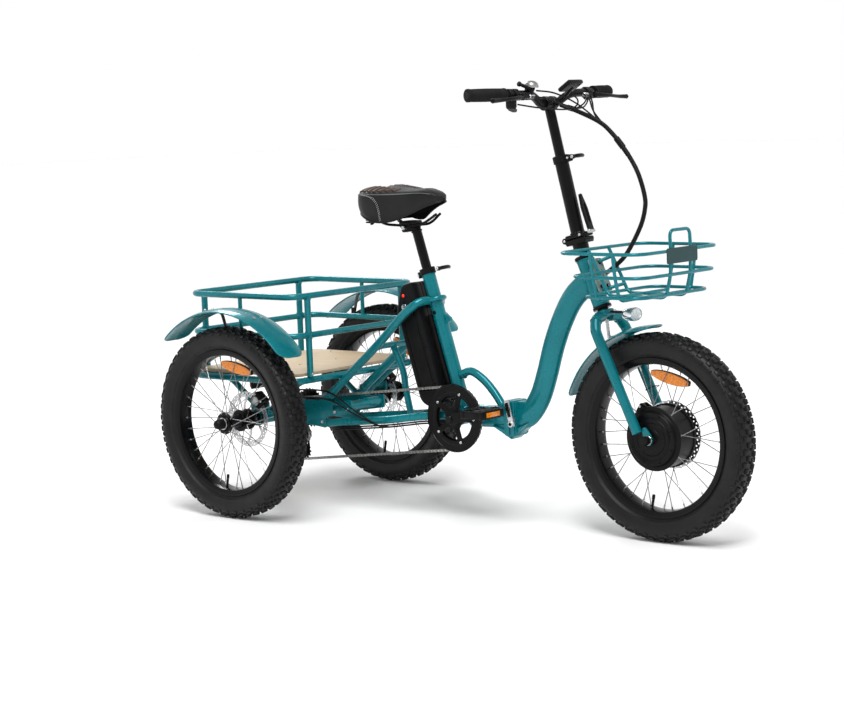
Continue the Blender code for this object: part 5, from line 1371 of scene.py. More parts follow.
def derailleur():
    piece = Shape("rear_derailleur", "rear_frame", "derailleur", slot="black_metal")
    piece.add(cuboid((0.03, 0.013, 0.034), at(-0.004, -0.0605, 0.217), 0.005, 3), "black_metal")
    piece.add(cuboid((0.018, 0.004, 0.022), at(-0.004, -0.068, 0.217), 0.0018, 2), "zinc")
    piece.add(bolt((-0.004, -0.0698, 0.222), -Y, 0.0046, 0.002), "steel")
    for x, z in ((0.0, 0.2), (0.002, 0.148)):
        gear = slab(
            [toothed(11, 0.0175, 0.0225), circle(0.004, 16)], 0.0034, frame_at((x, CHAIN_Y, z), Y), 0.0003
        )
        piece.add(gear, "black_plastic")
        piece.add(rod((x, -0.057, z), (x, -0.04, z), 0.0042, 20, 0.0008), "steel")
    cage = rounded(
        [(-0.01, 0.212), (0.01, 0.212), (0.015, 0.156), (0.01, 0.136), (-0.006, 0.136), (-0.011, 0.156)],
        0.007
    )
    cut = rounded([(-0.004, 0.188), (0.005, 0.188), (0.006, 0.162), (-0.004, 0.162)], 0.003)
    for y in (-0.054, -0.0418):
        piece.add(slab([cage, cut], 0.0016, upright(0, y, 0), 0.0003), "black_metal")
    piece.make()


def crankset():
    hub = BOTTOM_BRACKET
    face = frame_at((hub.x, CHAIN_Y, hub.z), -Y)
    piece = Shape("chainring_and_guard", "crankset", "chainring", slot="black_metal")
    ring = [toothed(44, 0.08, 0.0865), circle(0.06, 72)]
    piece.add(slab(ring, 0.0022, face, 0.0003), "black_metal")
    guard = face @ at(0, 0, 0.0085)
    windows = []
    for i in range(5):
        a = 2 * math.pi * (i + 0.5) / 5
        fan = [(0.064, a - 0.5), (0.064, a - 0.25), (0.064, a), (0.064, a + 0.25), (0.064, a + 0.5)]
        fan += [(0.033, a + 0.36), (0.033, a - 0.36)]
        windows.append(rounded([(r * math.cos(t), r * math.sin(t)) for r, t in fan], 0.005))
    piece.add(slab([circle(0.0945, 120)] + windows, 0.003, guard, 0.0007), "black_metal")
    lip = [
        (0.0905, -0.0015), (0.0945, -0.0015), (0.0958, 0.0005), (0.0945, 0.0026), (0.0915, 0.0026),
        (0.0905, 0.0015)
    ]
    piece.add(revolve(lip, guard, 96), "black_gloss")
    piece.add(revolve([(0.07, 0.001), (0.073, 0.0024), (0.076, 0.001)], guard, 96), "black_gloss")
    for i in range(5):
        turn = 2 * math.pi * i / 5
        spot = Vector((0.07 * math.cos(turn), 0.07 * math.sin(turn), 0.0))
        piece.add(rod(face @ spot, face @ (spot + Vector((0, 0, 0.0075))), 0.0046, 18), "black_metal")
        piece.add(bolt(guard @ (spot + Vector((0, 0, 0.0012))), -Y, 0.0044, 0.002), "steel")
        for lean in (-0.1, 0.1):
            a = frame_at(
                guard @ Vector((0, 0, 0.0012)), -Y,
                Vector((math.cos(turn + lean), 0, math.sin(turn + lean)))
            )
            piece.add(cuboid((0.04, 0.0052, 0.003), a @ at(0.047, 0, 0), 0.0012), "black_metal")
    piece.add(
        revolve(
            [(0.01, 0), (0.021, 0), (0.0215, 0.0165), (0.017, 0.0185), (0.01, 0.0185)],
            face @ at(0, 0, -0.003), 40
        ),
        "black_metal"
    )
    piece.make()
    piece = Shape("cranks", "crankset", "crank_arms", slot="black_metal")
    for side in (-1, 1):
        along = Vector((math.cos(CRANK_ANGLE), 0, math.sin(CRANK_ANGLE))) * (1 if side < 0 else -1)
        seat = frame_at((hub.x, side * 0.0725, hub.z), Y * side, along)
        verts, faces = cuboid((1.0, 1.0, 1.0), at(0, 0, 0), 0.1, 3)
        arm = []
        for v in verts:
            s = v.x + 0.5
            width = 0.033 + (0.023 - 0.033) * s
            rounding = math.sqrt(max(0.0, 1 - max(0.0, (abs(v.x) - 0.4) / 0.1) ** 2 * 0.75))
            arm.append(
                seat @ Vector((-0.014 + s * 0.196, v.y * width * rounding, v.z * (0.013 - 0.002 * s)))
            )
        piece.add((arm, faces), "black_metal")
        groove = cuboid((0.105, 0.008, 0.0015), seat @ at(0.088, 0, 0.0062), 0.0006)
        piece.add(groove, "black_gloss")
        piece.add(
            revolve(
                [(0, 0.006), (0.0105, 0.006), (0.011, 0.0085), (0.0095, 0.0105), (0, 0.011)], seat, 28
            ),
            "black_gloss"
        )
        piece.add(bolt(seat @ Vector((CRANK_LENGTH, 0, -0.007)), -Y * side, 0.006, 0.002), "steel")
        end = seat @ Vector((CRANK_LENGTH, 0, 0.0065))
        piece.add(rod(end, end + Y * side * 0.0085, 0.0075, 6), "steel")
        piece.add(rod(end, Vector((end.x, side * 0.178, end.z)), 0.0058, 18), "steel")
    piece.add(rod((hub.x, -0.072, hub.z), (hub.x, 0.072, hub.z), 0.0092, 24), "steel")
    piece.make()


def pedals():
    for name, side in SIDES.items():
        along = Vector((math.cos(CRANK_ANGLE), 0, math.sin(CRANK_ANGLE))) * (1 if side < 0 else -1)
        middle = BOTTOM_BRACKET + along * CRANK_LENGTH + Y * side * 0.138
        seat = at(*middle)
        piece = Shape(f"{name}_pedal_body", f"{name}_pedal", f"pedal_{name}", slot="black_plastic")
        low, high = (0.046, 0.036) if side > 0 else (0.036, 0.046)
        piece.add(rod(middle - Y * low, middle + Y * high, 0.0105, 24, 0.001), "black_plastic")
        for x in (-0.032, 0.032):
            piece.add(cuboid((0.012, 0.095, 0.023), seat @ at(x, 0, 0), 0.003, 3), "black_plastic")
            for y in (-0.03, -0.015, 0.0, 0.015, 0.03):
                for z in (-0.0118, 0.0118):
                    piece.add(
                        cuboid((0.01, 0.006, 0.003), seat @ at(x, y, z * 0.95), 0.0008, 1),
                        "black_plastic"
                    )
            out = 1 if x > 0 else -1
            # Amber pedal reflectors, with the painted glow of the amber lens.
            piece.add(cuboid((0.003, 0.056, 0.013), seat @ at(x + out * 0.006, 0, 0), 0.001), "amber")
        for y in (-0.0415, -0.013, 0.013, 0.0415):
            piece.add(cuboid((0.06, 0.008, 0.02), seat @ at(0, y, 0), 0.002), "black_plastic")
        piece.make()


# ---------------------------------------------------------------- battery and seat
BATTERY = [
    (0.0345, 0.052), (0.095, 0.052), (0.1155, 0.076), (0.1155, 0.338), (0.074, 0.402), (0.0345, 0.402)
]


def battery():
    piece = Shape("battery_case", "battery_pack", "battery", slot="black_plastic")
    outline = rounded(BATTERY, 0.014, 5)
    turn = Matrix((-SEAT_FRONT, SEAT_UP, Vector((-SEAT_FRONT).cross(SEAT_UP)))).transposed().to_4x4()
    seat = Matrix.Translation(BOTTOM_BRACKET) @ turn
    for y in (-0.0221, 0.0221):
        piece.add(slab([outline], 0.0436, seat @ at(0, 0, y), 0.007), "black_plastic")
    belt_line = rounded([(a * 0.985 + 0.001, b) for a, b in BATTERY], 0.014, 5)
    piece.add(slab([belt_line], 0.02, seat, 0.001), "black_gloss")
    ridge = rounded([(0.05, 0.09), (0.1, 0.1), (0.1, 0.33), (0.068, 0.372), (0.05, 0.372)], 0.01, 5)
    inner = rounded(
        [(0.054, 0.096), (0.096, 0.104), (0.096, 0.328), (0.066, 0.366), (0.054, 0.366)], 0.008, 5
    )
    for y in (-0.044, 0.044):
        piece.add(slab([ridge, inner], 0.0012, seat @ at(0, 0, y), 0.0004), "black_gloss")
    right = 1 if (seat.to_3x3() @ Z).y < 0 else -1
    outward = Matrix.Rotation(0.0 if right > 0 else math.pi, 4, "X")
    lock = [(0, 0.004), (0.004, 0.004), (0.0085, 0.0045), (0.0095, 0.003), (0.0095, -0.002), (0, -0.002)]
    piece.add(revolve(lock, seat @ at(0.08, 0.34, right * 0.0425) @ outward, 28), "steel")
    piece.add(cuboid((0.006, 0.0016, 0.01), seat @ at(0.08, 0.34, right * 0.0442), 0.0004), "black_metal")
    lamp = [(0, 0.0022), (0.0042, 0.0018), (0.0052, 0.0), (0.0052, -0.002), (0, -0.002)]
    piece.add(revolve(lamp, seat @ at(0.074, 0.372, right * 0.0425) @ outward, 20), "led")
    for b in (0.11, 0.215, 0.325):
        for y in (-0.0442, 0.0442):
            spot = seat @ Vector((0.043, b, y))
            piece.add(bolt(spot, Y if spot.y > 0 else -Y, 0.0036, 0.0014), "black_gloss")
    piece.make()


SADDLE_HALF = [
    (0.0, 0.056), (0.05, 0.084), (0.14, 0.101), (0.26, 0.1035), (0.4, 0.094), (0.54, 0.07), (0.68, 0.048)
]
SADDLE_HALF += [(0.8, 0.037), (0.88, 0.032), (0.94, 0.0255), (0.972, 0.0185), (0.99, 0.011), (1.0, 0.003)]
SADDLE_TOP = [
    (0.0, 0.908), (0.06, 0.918), (0.18, 0.922), (0.38, 0.919), (0.6, 0.916), (0.78, 0.917), (0.87, 0.913),
    (0.94, 0.905), (1.0, 0.892)
]
SADDLE_EDGE = [(0.0, 0.884), (0.15, 0.884), (0.35, 0.884), (0.55, 0.886), (0.75, 0.888), (1.0, 0.886)]
SADDLE_SKIRT = [
    (0.0, 0.857), (0.12, 0.842), (0.28, 0.826), (0.46, 0.826), (0.6, 0.84), (0.8, 0.864), (0.93, 0.876),
    (1.0, 0.882)
]


def saddle_x(s):
    return 0.27 + 0.258 * s


def hump(value, middle, width):
    return math.exp(-(((value - middle) / width) ** 2))


def saddle_point(s, t, lift=0.0):
    """A point on the cover: s runs from tail to nose, t from one skirt over the top to the other."""
    x = saddle_x(s)
    half, top = spline_value(SADDLE_HALF, s), spline_value(SADDLE_TOP, s)
    edge, skirt = spline_value(SADDLE_EDGE, s), spline_value(SADDLE_SKIRT, s)
    a = abs(t)
    if a < 0.7:
        u = a / 0.7
        y = half * math.sin(u * math.pi / 2) ** 0.92
        crown = math.cos(u * math.pi / 2) ** 0.62
        z = edge + 0.01 + (top - edge - 0.01) * crown
        z -= 0.005 * hump(y, 0.0, 0.014) * max(0.0, 1 - abs(s - 0.42) / 0.45)
        z += 0.0035 * hump(y, half * 0.52, half * 0.26) * hump(s, 0.24, 0.16)
    else:
        u = (a - 0.7) / 0.3
        y = half * (1.0 + 0.02 * math.sin(math.pi * u) - 0.13 * u**2.2)
        z = edge + 0.01 + (skirt - edge - 0.01) * u
    out = Vector((0.0, math.copysign(1.0, t) * min(1.0, a / 0.7), 1.0 - min(1.0, a / 0.85))).normalized()
    return Vector((x, math.copysign(y, t), z)) + out * lift


def saddle():
    """The cover is a lofted, padded shell whose rim turns in round the base."""
    rows, columns = 72, 64
    stations = [0.5 - 0.5 * math.cos(math.pi * i / rows) for i in range(rows + 1)]
    verts, faces = [], []
    for s in stations:
        for j in range(columns + 1):
            verts.append(saddle_point(s, -1 + 2 * j / columns))
    width = columns + 1
    for i in range(rows):
        for j in range(columns):
            a = i * width + j
            faces.append([a, a + 1, a + width + 1, a + width])
    cover_faces, base = list(faces), []
    under = []
    for s in stations:
        x = saddle_x(s)
        half, skirt = spline_value(SADDLE_HALF, s) * 0.87, spline_value(SADDLE_SKIRT, s)
        under.append([len(verts) + k for k in range(5)])
        verts += [Vector((x, half * k / 2.6, skirt + 0.008)) for k in (-2, -1, 0, 1, 2)]
    for i in range(rows):
        for k in range(4):
            base.append([under[i][k], under[i + 1][k], under[i + 1][k + 1], under[i][k + 1]])
        base.append([i * width, (i + 1) * width, under[i + 1][0], under[i][0]])
        base.append([i * width + columns, under[i][4], under[i + 1][4], (i + 1) * width + columns])
    for i, flip in ((0, False), (rows, True)):
        ring = [i * width + j for j in range(width)] + under[i][::-1]
        cover_faces.append(ring if flip else ring[::-1])
    piece = Shape("saddle_cover", "seat", "saddle", slot="saddle_vinyl")
    piece.add((verts, cover_faces), "vinyl")
    piece.add_faces(base, "felt")
    cover = piece.make(60)
    trim = Shape("saddle_trim", "seat", slot="saddle_vinyl")
    for side in (-1, 1):
        path = [saddle_point(s, side * 0.6, 0.0006) for s in spread(0.03, 0.9, 60)]
        trim.add(sweep(path, 0.0011, 10), "piping")
        seam = [(0.05, 0.61), (0.17, 0.63), (0.28, 0.68), (0.355, 0.76), (0.375, 0.87), (0.365, 0.985)]
        for lane in (0.0, 0.012):
            arc = route([(a + lane, b - lane * 0.8, 0.0) for a, b in seam], 10)
            line = [saddle_point(p.x, side * p.y, 0.0005) for p in arc]
            for first, second in list(zip(line, line[1:]))[::2]:
                trim.add(sweep([first, second], 0.0005, 6), "thread")
        for row in range(7):
            s = 0.11 + 0.062 * row
            reach = 0.5 - 0.03 * max(0, row - 3)
            path = [saddle_point(s, side * t, -0.0044) for t in spread(0.17, reach, 14)]
            trim.add(sweep(path, 0.0074, 16), "brown_vinyl")
        line = [saddle_point(s, side * 0.13, 0.0004) for s in spread(0.08, 0.86, 60)]
        trim.add(sweep(line, 0.001, 8), "piping")
        hem = [saddle_point(s, side * 0.99, 0.0004) for s in spread(0.01, 0.99, 70)]
        trim.add(sweep(hem, 0.0022, 10), "vinyl")
    trim.make(60)


SADDLE_RAIL = [(0.505, 0.008, 0.846), (0.465, 0.016, 0.822), (0.43, 0.0215, 0.815), (0.37, 0.0215, 0.815)]
SADDLE_RAIL += [(0.335, 0.034, 0.82), (0.315, 0.05, 0.838)]


def seat_post():
    piece = Shape("seat_post_and_rails", "seat", "seat_post", slot="black_metal")
    piece.add(rod(on_seat(0.2), on_seat(0.546), 0.0137, 32, 0.001), "black_gloss")
    top = on_seat(0.546)
    piece.add(cuboid((0.044, 0.036, 0.02), turned(at(0.402, 0, 0.806), -8, "Y"), 0.006, 3), "black_metal")
    piece.add(cuboid((0.04, 0.056, 0.011), at(0.402, 0, 0.8215), 0.003, 2), "black_metal")
    piece.add(cuboid((0.036, 0.052, 0.008), at(0.402, 0, 0.811), 0.003, 2), "black_metal")
    piece.add(weld(top - SEAT_UP * 0.01, SEAT_UP, 0.014, 0.002), "black_metal")
    piece.add(rod((0.402, -0.034, 0.808), (0.402, 0.034, 0.808), 0.0035, 18), "steel")
    for side in (-1, 1):
        piece.add(hex_nut((0.402, side * 0.03, 0.808), Y * side, 0.0068, 0.0055), "steel")
        piece.add(sweep(route(mirrored(SADDLE_RAIL, side)), 0.0037, 16), "black_metal")
        coil = []
        for k in range(70):
            turn = 2 * math.pi * k / 14
            across, along = on_circle(0.0105, turn)
            coil.append(Vector((0.303 + across, side * 0.06 + along, 0.8215 + 0.03 * k / 69)))
        piece.add(sweep(coil, 0.0021, 8), "black_metal")
        foot = [(0.315, side * 0.05, 0.838), (0.306, side * 0.058, 0.8215), (0.3135, side * 0.06, 0.8215)]
        piece.add(sweep(route(foot), 0.003, 10), "black_metal")
    piece.add(cuboid((0.012, 0.15, 0.005), at(0.303, 0, 0.852), 0.0018), "black_metal")
    piece.make()


SEAT_KNOTS = [
    (0.415, -0.0395, -0.004), (0.416, -0.043, 0.02), (0.417, -0.04, 0.045), (0.417, -0.028, 0.062)
]
STEM_KNOTS = [(0.211, 0.0395, -0.004), (0.212, 0.043, 0.018), (0.213, 0.04, 0.042), (0.213, 0.029, 0.058)]


def clamp_lever(name, body, node, knots, radius, place_of, boss):
    """The cam lever of a quick release."""
    piece = Shape(name, body, node, slot="black_metal")
    path = route([place_of(*knot) for knot in knots])
    radii = []
    for i in range(len(path)):
        swell = math.sin(math.pi * min(1.0, i / (len(path) - 1) + 0.08))
        radii.append(radius * (0.85 + 0.35 * swell))
    piece.add(sweep(path, radii, 18), "black_gloss")
    piece.add(rod(boss - Y * 0.005, boss + Y * 0.005, 0.0062, 24, 0.001), "black_metal")
    piece.add(bolt(boss - Y * 0.005, -Y, 0.0046, 0.002), "steel")
    piece.make()


def quick_releases():
    seat_boss, stem_boss = on_seat(0.415, -0.04), on_stem(0.211, 0.0395)
    clamp_lever(
        "seat_quick_release", "seat_lever", "seat_clamp_lever", SEAT_KNOTS, 0.0048, on_seat, seat_boss
    )
    clamp_lever(
        "stem_quick_release", "stem_lever", "stem_clamp_lever", STEM_KNOTS, 0.0046, on_stem, stem_boss
    )


# ---------------------------------------------------------------- front frame
DOWN_TUBE = [
    (0.768, 0, 0.29), (0.805, 0, 0.305), (0.842, 0, 0.352), (0.868, 0, 0.415), (0.896, 0, 0.5),
    (0.93, 0, 0.575)
]
DOWN_TUBE += [(0.968, 0, 0.632), (1.02, 0, 0.674)]


def down_tube():
    piece = Shape("down_tube_with_hinge", "front_frame", "down_tube", slot="teal_paint")
    path = route(DOWN_TUBE)[:-1]
    verts, faces = sweep(path, 1.0, section=lambda t: oval(0.021, 0.0325))
    along = (path[-1] - path[-2]).normalized()
    for i in range(len(verts)):
        reach = math.sqrt(0.0223**2 - min(abs(verts[i].y), 0.0205) ** 2)
        beyond = (verts[i] - HEAD_MIDDLE).dot(STEERING_FRONT) + reach
        if i >= len(verts) - 28 or beyond > 0:
            verts[i] = verts[i] - along * (beyond / along.dot(STEERING_FRONT))
    piece.add((verts, faces), "teal")
    joint = [v + (v - path[-1]).normalized() * 0.0006 for v in verts[-28:]]
    piece.add(sweep(joint, 0.0024, 10, cyclic=True), "teal")
    piece.add(cuboid((0.016, 0.062, 0.098), at(0.7655, 0, 0.293), 0.0035, 3), "teal")
    piece.add(cuboid((0.004, 0.056, 0.09), at(0.776, 0, 0.293), 0.0015, 2), "teal")
    gusset = rounded([(0.774, 0.246), (0.806, 0.276), (0.822, 0.318), (0.8, 0.34), (0.774, 0.34)], 0.004)
    piece.add(slab([gusset], 0.03, upright(0, 0, 0), 0.003), "teal")
    piece.add(
        slab([[(0.7576, 0.235), (0.812, 0.282), (0.7576, 0.258)]], 0.046, upright(0, 0, 0), 0.0012),
        "teal"
    )
    piece.add(rod((0.757, 0.034, 0.2712), (0.757, 0.034, 0.3148), 0.0085, 28, 0.0008), "teal")
    piece.add(cuboid((0.013, 0.012, 0.0425), at(0.764, 0.029, 0.293), 0.002), "teal")
    piece.add(cuboid((0.018, 0.006, 0.026), at(0.77, -0.0335, 0.286), 0.002), "steel")
    piece.make()
    piece = Shape("head_tube_with_cups", "front_frame", "head_tube", slot="teal_paint")
    piece.add(sleeve(on_head(-0.066), on_head(0.066), 0.0225, 0.0176, 40), "teal")
    for up, way in ((0.066, 1), (-0.066, -1)):
        piece.add(
            sleeve(on_head(up - 0.0005 * way), on_head(up + 0.0088 * way), 0.0255, 0.0176, 40, 0.0015),
            "black_gloss"
        )
        piece.add(weld(on_head(up - 0.004 * way), STEERING_UP, 0.0225, 0.0012), "teal")
    piece.make()
    piece = Shape("fold_latch_lever", "frame_latch", "fold_latch", slot="steel")
    seat = frame_at((0.7655, -0.0405, 0.311), Vector((-0.25, 0, 1.0)), X)
    piece.add(cuboid((0.018, 0.005, 0.072), seat, 0.002, 3), "steel")
    piece.add(cuboid((0.01, 0.0026, 0.04), seat @ at(0, -0.003, 0.008), 0.001, 2), "black_plastic")
    piece.add(rod((0.77, -0.044, 0.28), (0.77, -0.037, 0.28), 0.0085, 28, 0.001), "steel")
    piece.add(bolt((0.77, -0.044, 0.28), -Y, 0.005, 0.002), "black_metal")
    piece.make()


# ---------------------------------------------------------------- fork and front fittings
BLADE = [(1.0655, 0.018, 0.5815), (1.07, 0.046, 0.5765), (1.078, 0.062, 0.556), (1.088, 0.067, 0.535)]
BLADE += [(1.127, 0.067, 0.4535), (1.166, 0.067, 0.372), (1.205, 0.067, 0.29)]


def fork():
    piece = Shape("steel_fork", "fork_assembly", "fork", slot="teal_paint")
    piece.add(rod(on_head(-0.088), on_head(0.077), 0.0143, 28, 0.001), "black_metal")
    crown = frame_at(on_head(-0.089), STEERING_UP, STEERING_FRONT)
    piece.add(cuboid((0.038, 0.05, 0.021), crown, 0.007, 4), "teal")
    for side in (-1, 1):
        path = route(mirrored(BLADE, side))
        radii = [0.0145 - 0.0012 * i / (len(path) - 1) for i in range(len(path))]
        piece.add(sweep(path, radii, 24), "teal")
        piece.add(weld(path[10], path[11] - path[9], 0.0146, 0.0014), "teal")
        tip = [
            (-0.019, 0.03), (-0.012, -0.004), (-0.006, -0.014), (0.006, -0.014), (0.013, -0.004),
            (0.01, 0.012), (-0.008, 0.034)
        ]
        outline = rounded([(WHEELBASE + x, AXLE_Z + z) for x, z in tip], 0.006)
        piece.add(slab([outline], 0.0058, upright(0, side * 0.059, 0), 0.001), "teal")
        piece.add(
            sleeve((WHEELBASE, side * 0.0622, AXLE_Z), (WHEELBASE, side * 0.064, AXLE_Z), 0.013, 0.0073),
            "steel"
        )
        piece.add(hex_nut((WHEELBASE, side * 0.064, AXLE_Z), Y * side, 0.0118, 0.008), "black_metal")
        cap = [(0.0, 0.0), (0.0122, 0.0), (0.0124, 0.008), (0.0104, 0.0118), (0.0, 0.0128)]
        piece.add(revolve(cap, frame_at((WHEELBASE, side * 0.07, AXLE_Z), Y * side), 24), "black_plastic")
    piece.add(rod((WHEELBASE, -0.08, AXLE_Z), (WHEELBASE, 0.08, AXLE_Z), 0.007, 20), "steel")
    run = [
        (1.092, 0.083, 0.53), (1.127, 0.084, 0.456), (1.166, 0.084, 0.374), (1.19, 0.08, 0.32),
        (1.21, 0.07, 0.29)
    ]
    piece.add(sweep(route(run), 0.0027, 10), "cable")
    for x, z in ((1.11, 0.489), (1.158, 0.3888)):
        band = frame_at((x, 0.0735, z), Vector((0.43, 0, -0.9)), Y)
        tie = [
            band @ Vector((0.0235 * math.cos(t), 0.0165 * math.sin(t), 0)) for t in spread(0, 6.02, 24)
        ]
        piece.add(sweep(tie, 0.0011, 8, cyclic=True), "black_plastic")
    piece.make()
    piece = Shape("front_brake_caliper", "fork_assembly", "brake_caliper_front", slot="black_metal")
    caliper(piece, Vector((WHEELBASE, 0, AXLE_Z)), 0.104, math.radians(150), 0.038, 0.074)
    piece.make()
    piece = Shape("front_fender_arch", "fork_assembly", "front_fender", slot="teal_paint")
    arched_fender(piece, Vector((WHEELBASE, 0, AXLE_Z)), 0.292, 91, 161, 0.0, 0.042, 0.008, 0.028, "teal")
    piece.add(rod((1.0765, 0, 0.519), (1.0698, 0, 0.5725), 0.0045, 16), "steel")
    piece.add(cuboid((0.016, 0.02, 0.003), turned(at(1.0785, 0, 0.5235), -57, "Y"), 0.001), "steel")
    piece.make()
    piece = Shape("front_headlight", "fork_assembly", "headlight", slot="lamp_lens")
    lamp = frame_at((1.127, 0, 0.59), X, Y) @ Matrix.Diagonal((1.0, 0.66, 1.0, 1.0))
    shell = [
        (0, 0), (0.012, 0.0005), (0.022, 0.006), (0.0265, 0.016), (0.0275, 0.03), (0.0272, 0.036),
        (0.0255, 0.0375), (0.0248, 0.035), (0, 0.035)
    ]
    piece.add(revolve(shell, lamp, 40), "chrome")
    glass = [(0, 0.04), (0.012, 0.0392), (0.0205, 0.0372), (0.0243, 0.035), (0.0243, 0.033), (0, 0.033)]
    piece.add(revolve(glass, lamp, 40), "clear")
    piece.add(cuboid((0.046, 0.014, 0.006), at(1.108, 0, 0.5945), 0.002), "black_plastic")
    piece.add(bolt((1.096, 0, 0.5975), Z, 0.0044, 0.003), "steel")
    piece.make()


WIRE = 0.0045
BASKET_LOOPS = [(1.048, 1.305, 0.187, 0.76), (1.08, 1.303, 0.178, 0.7), (1.105, 1.29, 0.162, 0.648)]


def front_basket():
    piece = Shape("wire_basket", "front_frame", "front_basket", slot="teal_paint")
    for rear, front, half, z in BASKET_LOOPS:
        piece.add(sweep(level_loop(rear, front, half, z, 0.045), WIRE, 14, cyclic=True), "teal")
    for x in (1.157, 1.226):
        hoop = [
            (x, -0.187, 0.76), (x, -0.178, 0.7), (x, -0.163, 0.65), (x, -0.15, 0.6405), (x, 0.15, 0.6405)
        ]
        hoop += [(x, 0.163, 0.65), (x, 0.178, 0.7), (x, 0.187, 0.76)]
        piece.add(sweep(bent(hoop, 0.012), WIRE, 14), "teal")
    for y in (-0.045, 0.045):
        rib = [(1.048, y, 0.76), (1.08, y, 0.7), (1.105, y, 0.65), (1.116, y, 0.6405), (1.278, y, 0.6405)]
        rib += [(1.29, y, 0.648), (1.303, y, 0.7), (1.305, y, 0.76)]
        piece.add(sweep(bent(rib, 0.012), WIRE, 14), "teal")
    joint = [(0, -0.0052), (0.0052, -0.002), (0.0056, 0), (0.0052, 0.002), (0, 0.0052)]
    for x in (1.157, 1.226):
        for side in (-1, 1):
            for y, z in ((0.187, 0.76), (0.178, 0.7)):
                piece.add(revolve(joint, at(x, side * y, z), 12), "teal")
    bow = [(1.305, -0.045, 0.758), (1.303, -0.045, 0.812), (1.303, 0.045, 0.812), (1.305, 0.045, 0.758)]
    piece.add(sweep(bent(bow, 0.018, 8), WIRE, 14), "teal")
    badge = frame_at((1.3095, 0, 0.748), X, Y)
    piece.add(
        slab(
            [rounded([(-0.069, -0.02), (0.069, -0.02), (0.069, 0.02), (-0.069, 0.02)], 0.006)], 0.0026,
            badge, 0.0008
        ),
        "dark_teal"
    )
    plate = frame_at(on_head(0.01, 0.029), STEERING_FRONT, Y)
    outline = rounded([(-0.029, -0.046), (0.029, -0.046), (0.029, 0.046), (-0.029, 0.046)], 0.006)
    slots = []
    for x in (-0.012, 0.012):
        slot = [(x - 0.003, -0.014), (x + 0.003, -0.014), (x + 0.003, 0.014), (x - 0.003, 0.014)]
        slots.append(rounded(slot, 0.0029))
    piece.add(slab([outline] + slots, 0.0038, plate, 0.0006), "grey_green")
    for x in (-0.014, 0.014):
        for z in (-0.032, 0.034):
            piece.add(bolt(plate @ Vector((x, z, 0.0018)), STEERING_FRONT, 0.0052, 0.004), "black_gloss")
            piece.add(bolt(plate @ Vector((x, z, 0.005)), STEERING_FRONT, 0.0024, 0.0012), "steel")
    for side in (-1, 1):
        for up, x, z in ((0.046, 1.062, 0.737), (-0.03, 1.098, 0.665)):
            start = on_head(up, 0.0295, side * 0.014)
            piece.add(
                sweep(route([start, start + STEERING_FRONT * 0.008, (x, side * 0.045, z)]), 0.0048, 14),
                "teal"
            )
    piece.make()


# ---------------------------------------------------------------- stem, bar and controls
def stem():
    piece = Shape("stem_lower_joint", "fork_assembly", "stem_base", slot="black_metal")
    piece.add(rod(on_head(0.0808), on_stem(-0.008), 0.0213, 36, 0.001), "black_gloss")
    flange = frame_at(on_stem(-0.0065), STEM_UP, STEM_FRONT)
    piece.add(cuboid((0.068, 0.044, 0.012), flange, 0.0045, 4), "black_gloss")
    piece.add(cuboid((0.06, 0.047, 0.006), flange @ at(0, 0, -0.006), 0.0025, 3), "black_metal")
    for low, high in ((-0.0205, -0.0086), (0.0086, 0.0205)):
        piece.add(
            rod(on_stem(0, -0.034, low), on_stem(0, -0.034, high), 0.008, 24, 0.0008), "black_gloss"
        )
    piece.add(rod(on_stem(0, -0.034, -0.0225), on_stem(0, -0.034, 0.0225), 0.0034, 18, 0.0008), "steel")
    piece.make()
    piece = Shape("stem_column", "stem", "stem_tube", slot="black_metal")
    piece.add(sleeve(on_stem(0.006), on_stem(0.222), 0.0185, 0.0149, 40), "black_gloss")
    upper = frame_at(on_stem(0.0065, 0.002), STEM_UP, STEM_FRONT)
    piece.add(cuboid((0.064, 0.044, 0.012), upper, 0.0045, 4), "black_gloss")
    piece.add(weld(on_stem(0.0135), STEM_UP, 0.0187, 0.0026), "black_gloss")
    piece.add(
        rod(on_stem(0, -0.034, -0.0075), on_stem(0, -0.034, 0.0075), 0.008, 24, 0.0008), "black_gloss"
    )
    piece.add(
        cuboid((0.016, 0.013, 0.011), frame_at(on_stem(0.004, -0.028), STEM_UP, STEM_FRONT), 0.002),
        "black_gloss"
    )
    piece.add(sleeve(on_stem(0.203), on_stem(0.2228), 0.0218, 0.0149, 40, 0.0015), "black_metal")
    ear = frame_at(on_stem(0.211, 0.026), STEM_UP, STEM_FRONT)
    for side in (-1, 1):
        piece.add(cuboid((0.013, 0.006, 0.018), ear @ at(0, side * 0.0054, 0), 0.0018), "black_metal")
    piece.add(rod(on_stem(0.211, 0.029, -0.0125), on_stem(0.211, 0.029, 0.0125), 0.003), "steel")
    for side in (-1, 1):
        piece.add(bolt(on_stem(0.0065, 0.02, side * 0.0218), Y * side, 0.004, 0.0024), "steel")
    piece.make()
    piece = Shape("stem_latch_blade", "stem_latch_lever", "stem_latch", slot="black_metal")
    foot, tip = on_stem(0.01, 0.044), on_stem(0.106, 0.035)
    along = (tip - foot).normalized()
    seat = frame_at(on_stem(0.058, 0.0395), along.cross(Y) * -1, along)
    blade = rounded(
        [
            (-0.052, -0.0105), (0.016, -0.0115), (0.054, -0.004), (0.054, 0.004), (0.016, 0.0115),
            (-0.052, 0.0105)
        ],
        0.005
    )
    slot = rounded([(-0.026, -0.0034), (0.026, -0.0034), (0.026, 0.0034), (-0.026, 0.0034)], 0.0033)
    piece.add(slab([blade, slot], 0.0076, seat, 0.0016), "black_gloss")
    piece.add(rod(foot - Y * 0.0125, foot + Y * 0.0125, 0.005, 22, 0.0008), "steel")
    piece.make()


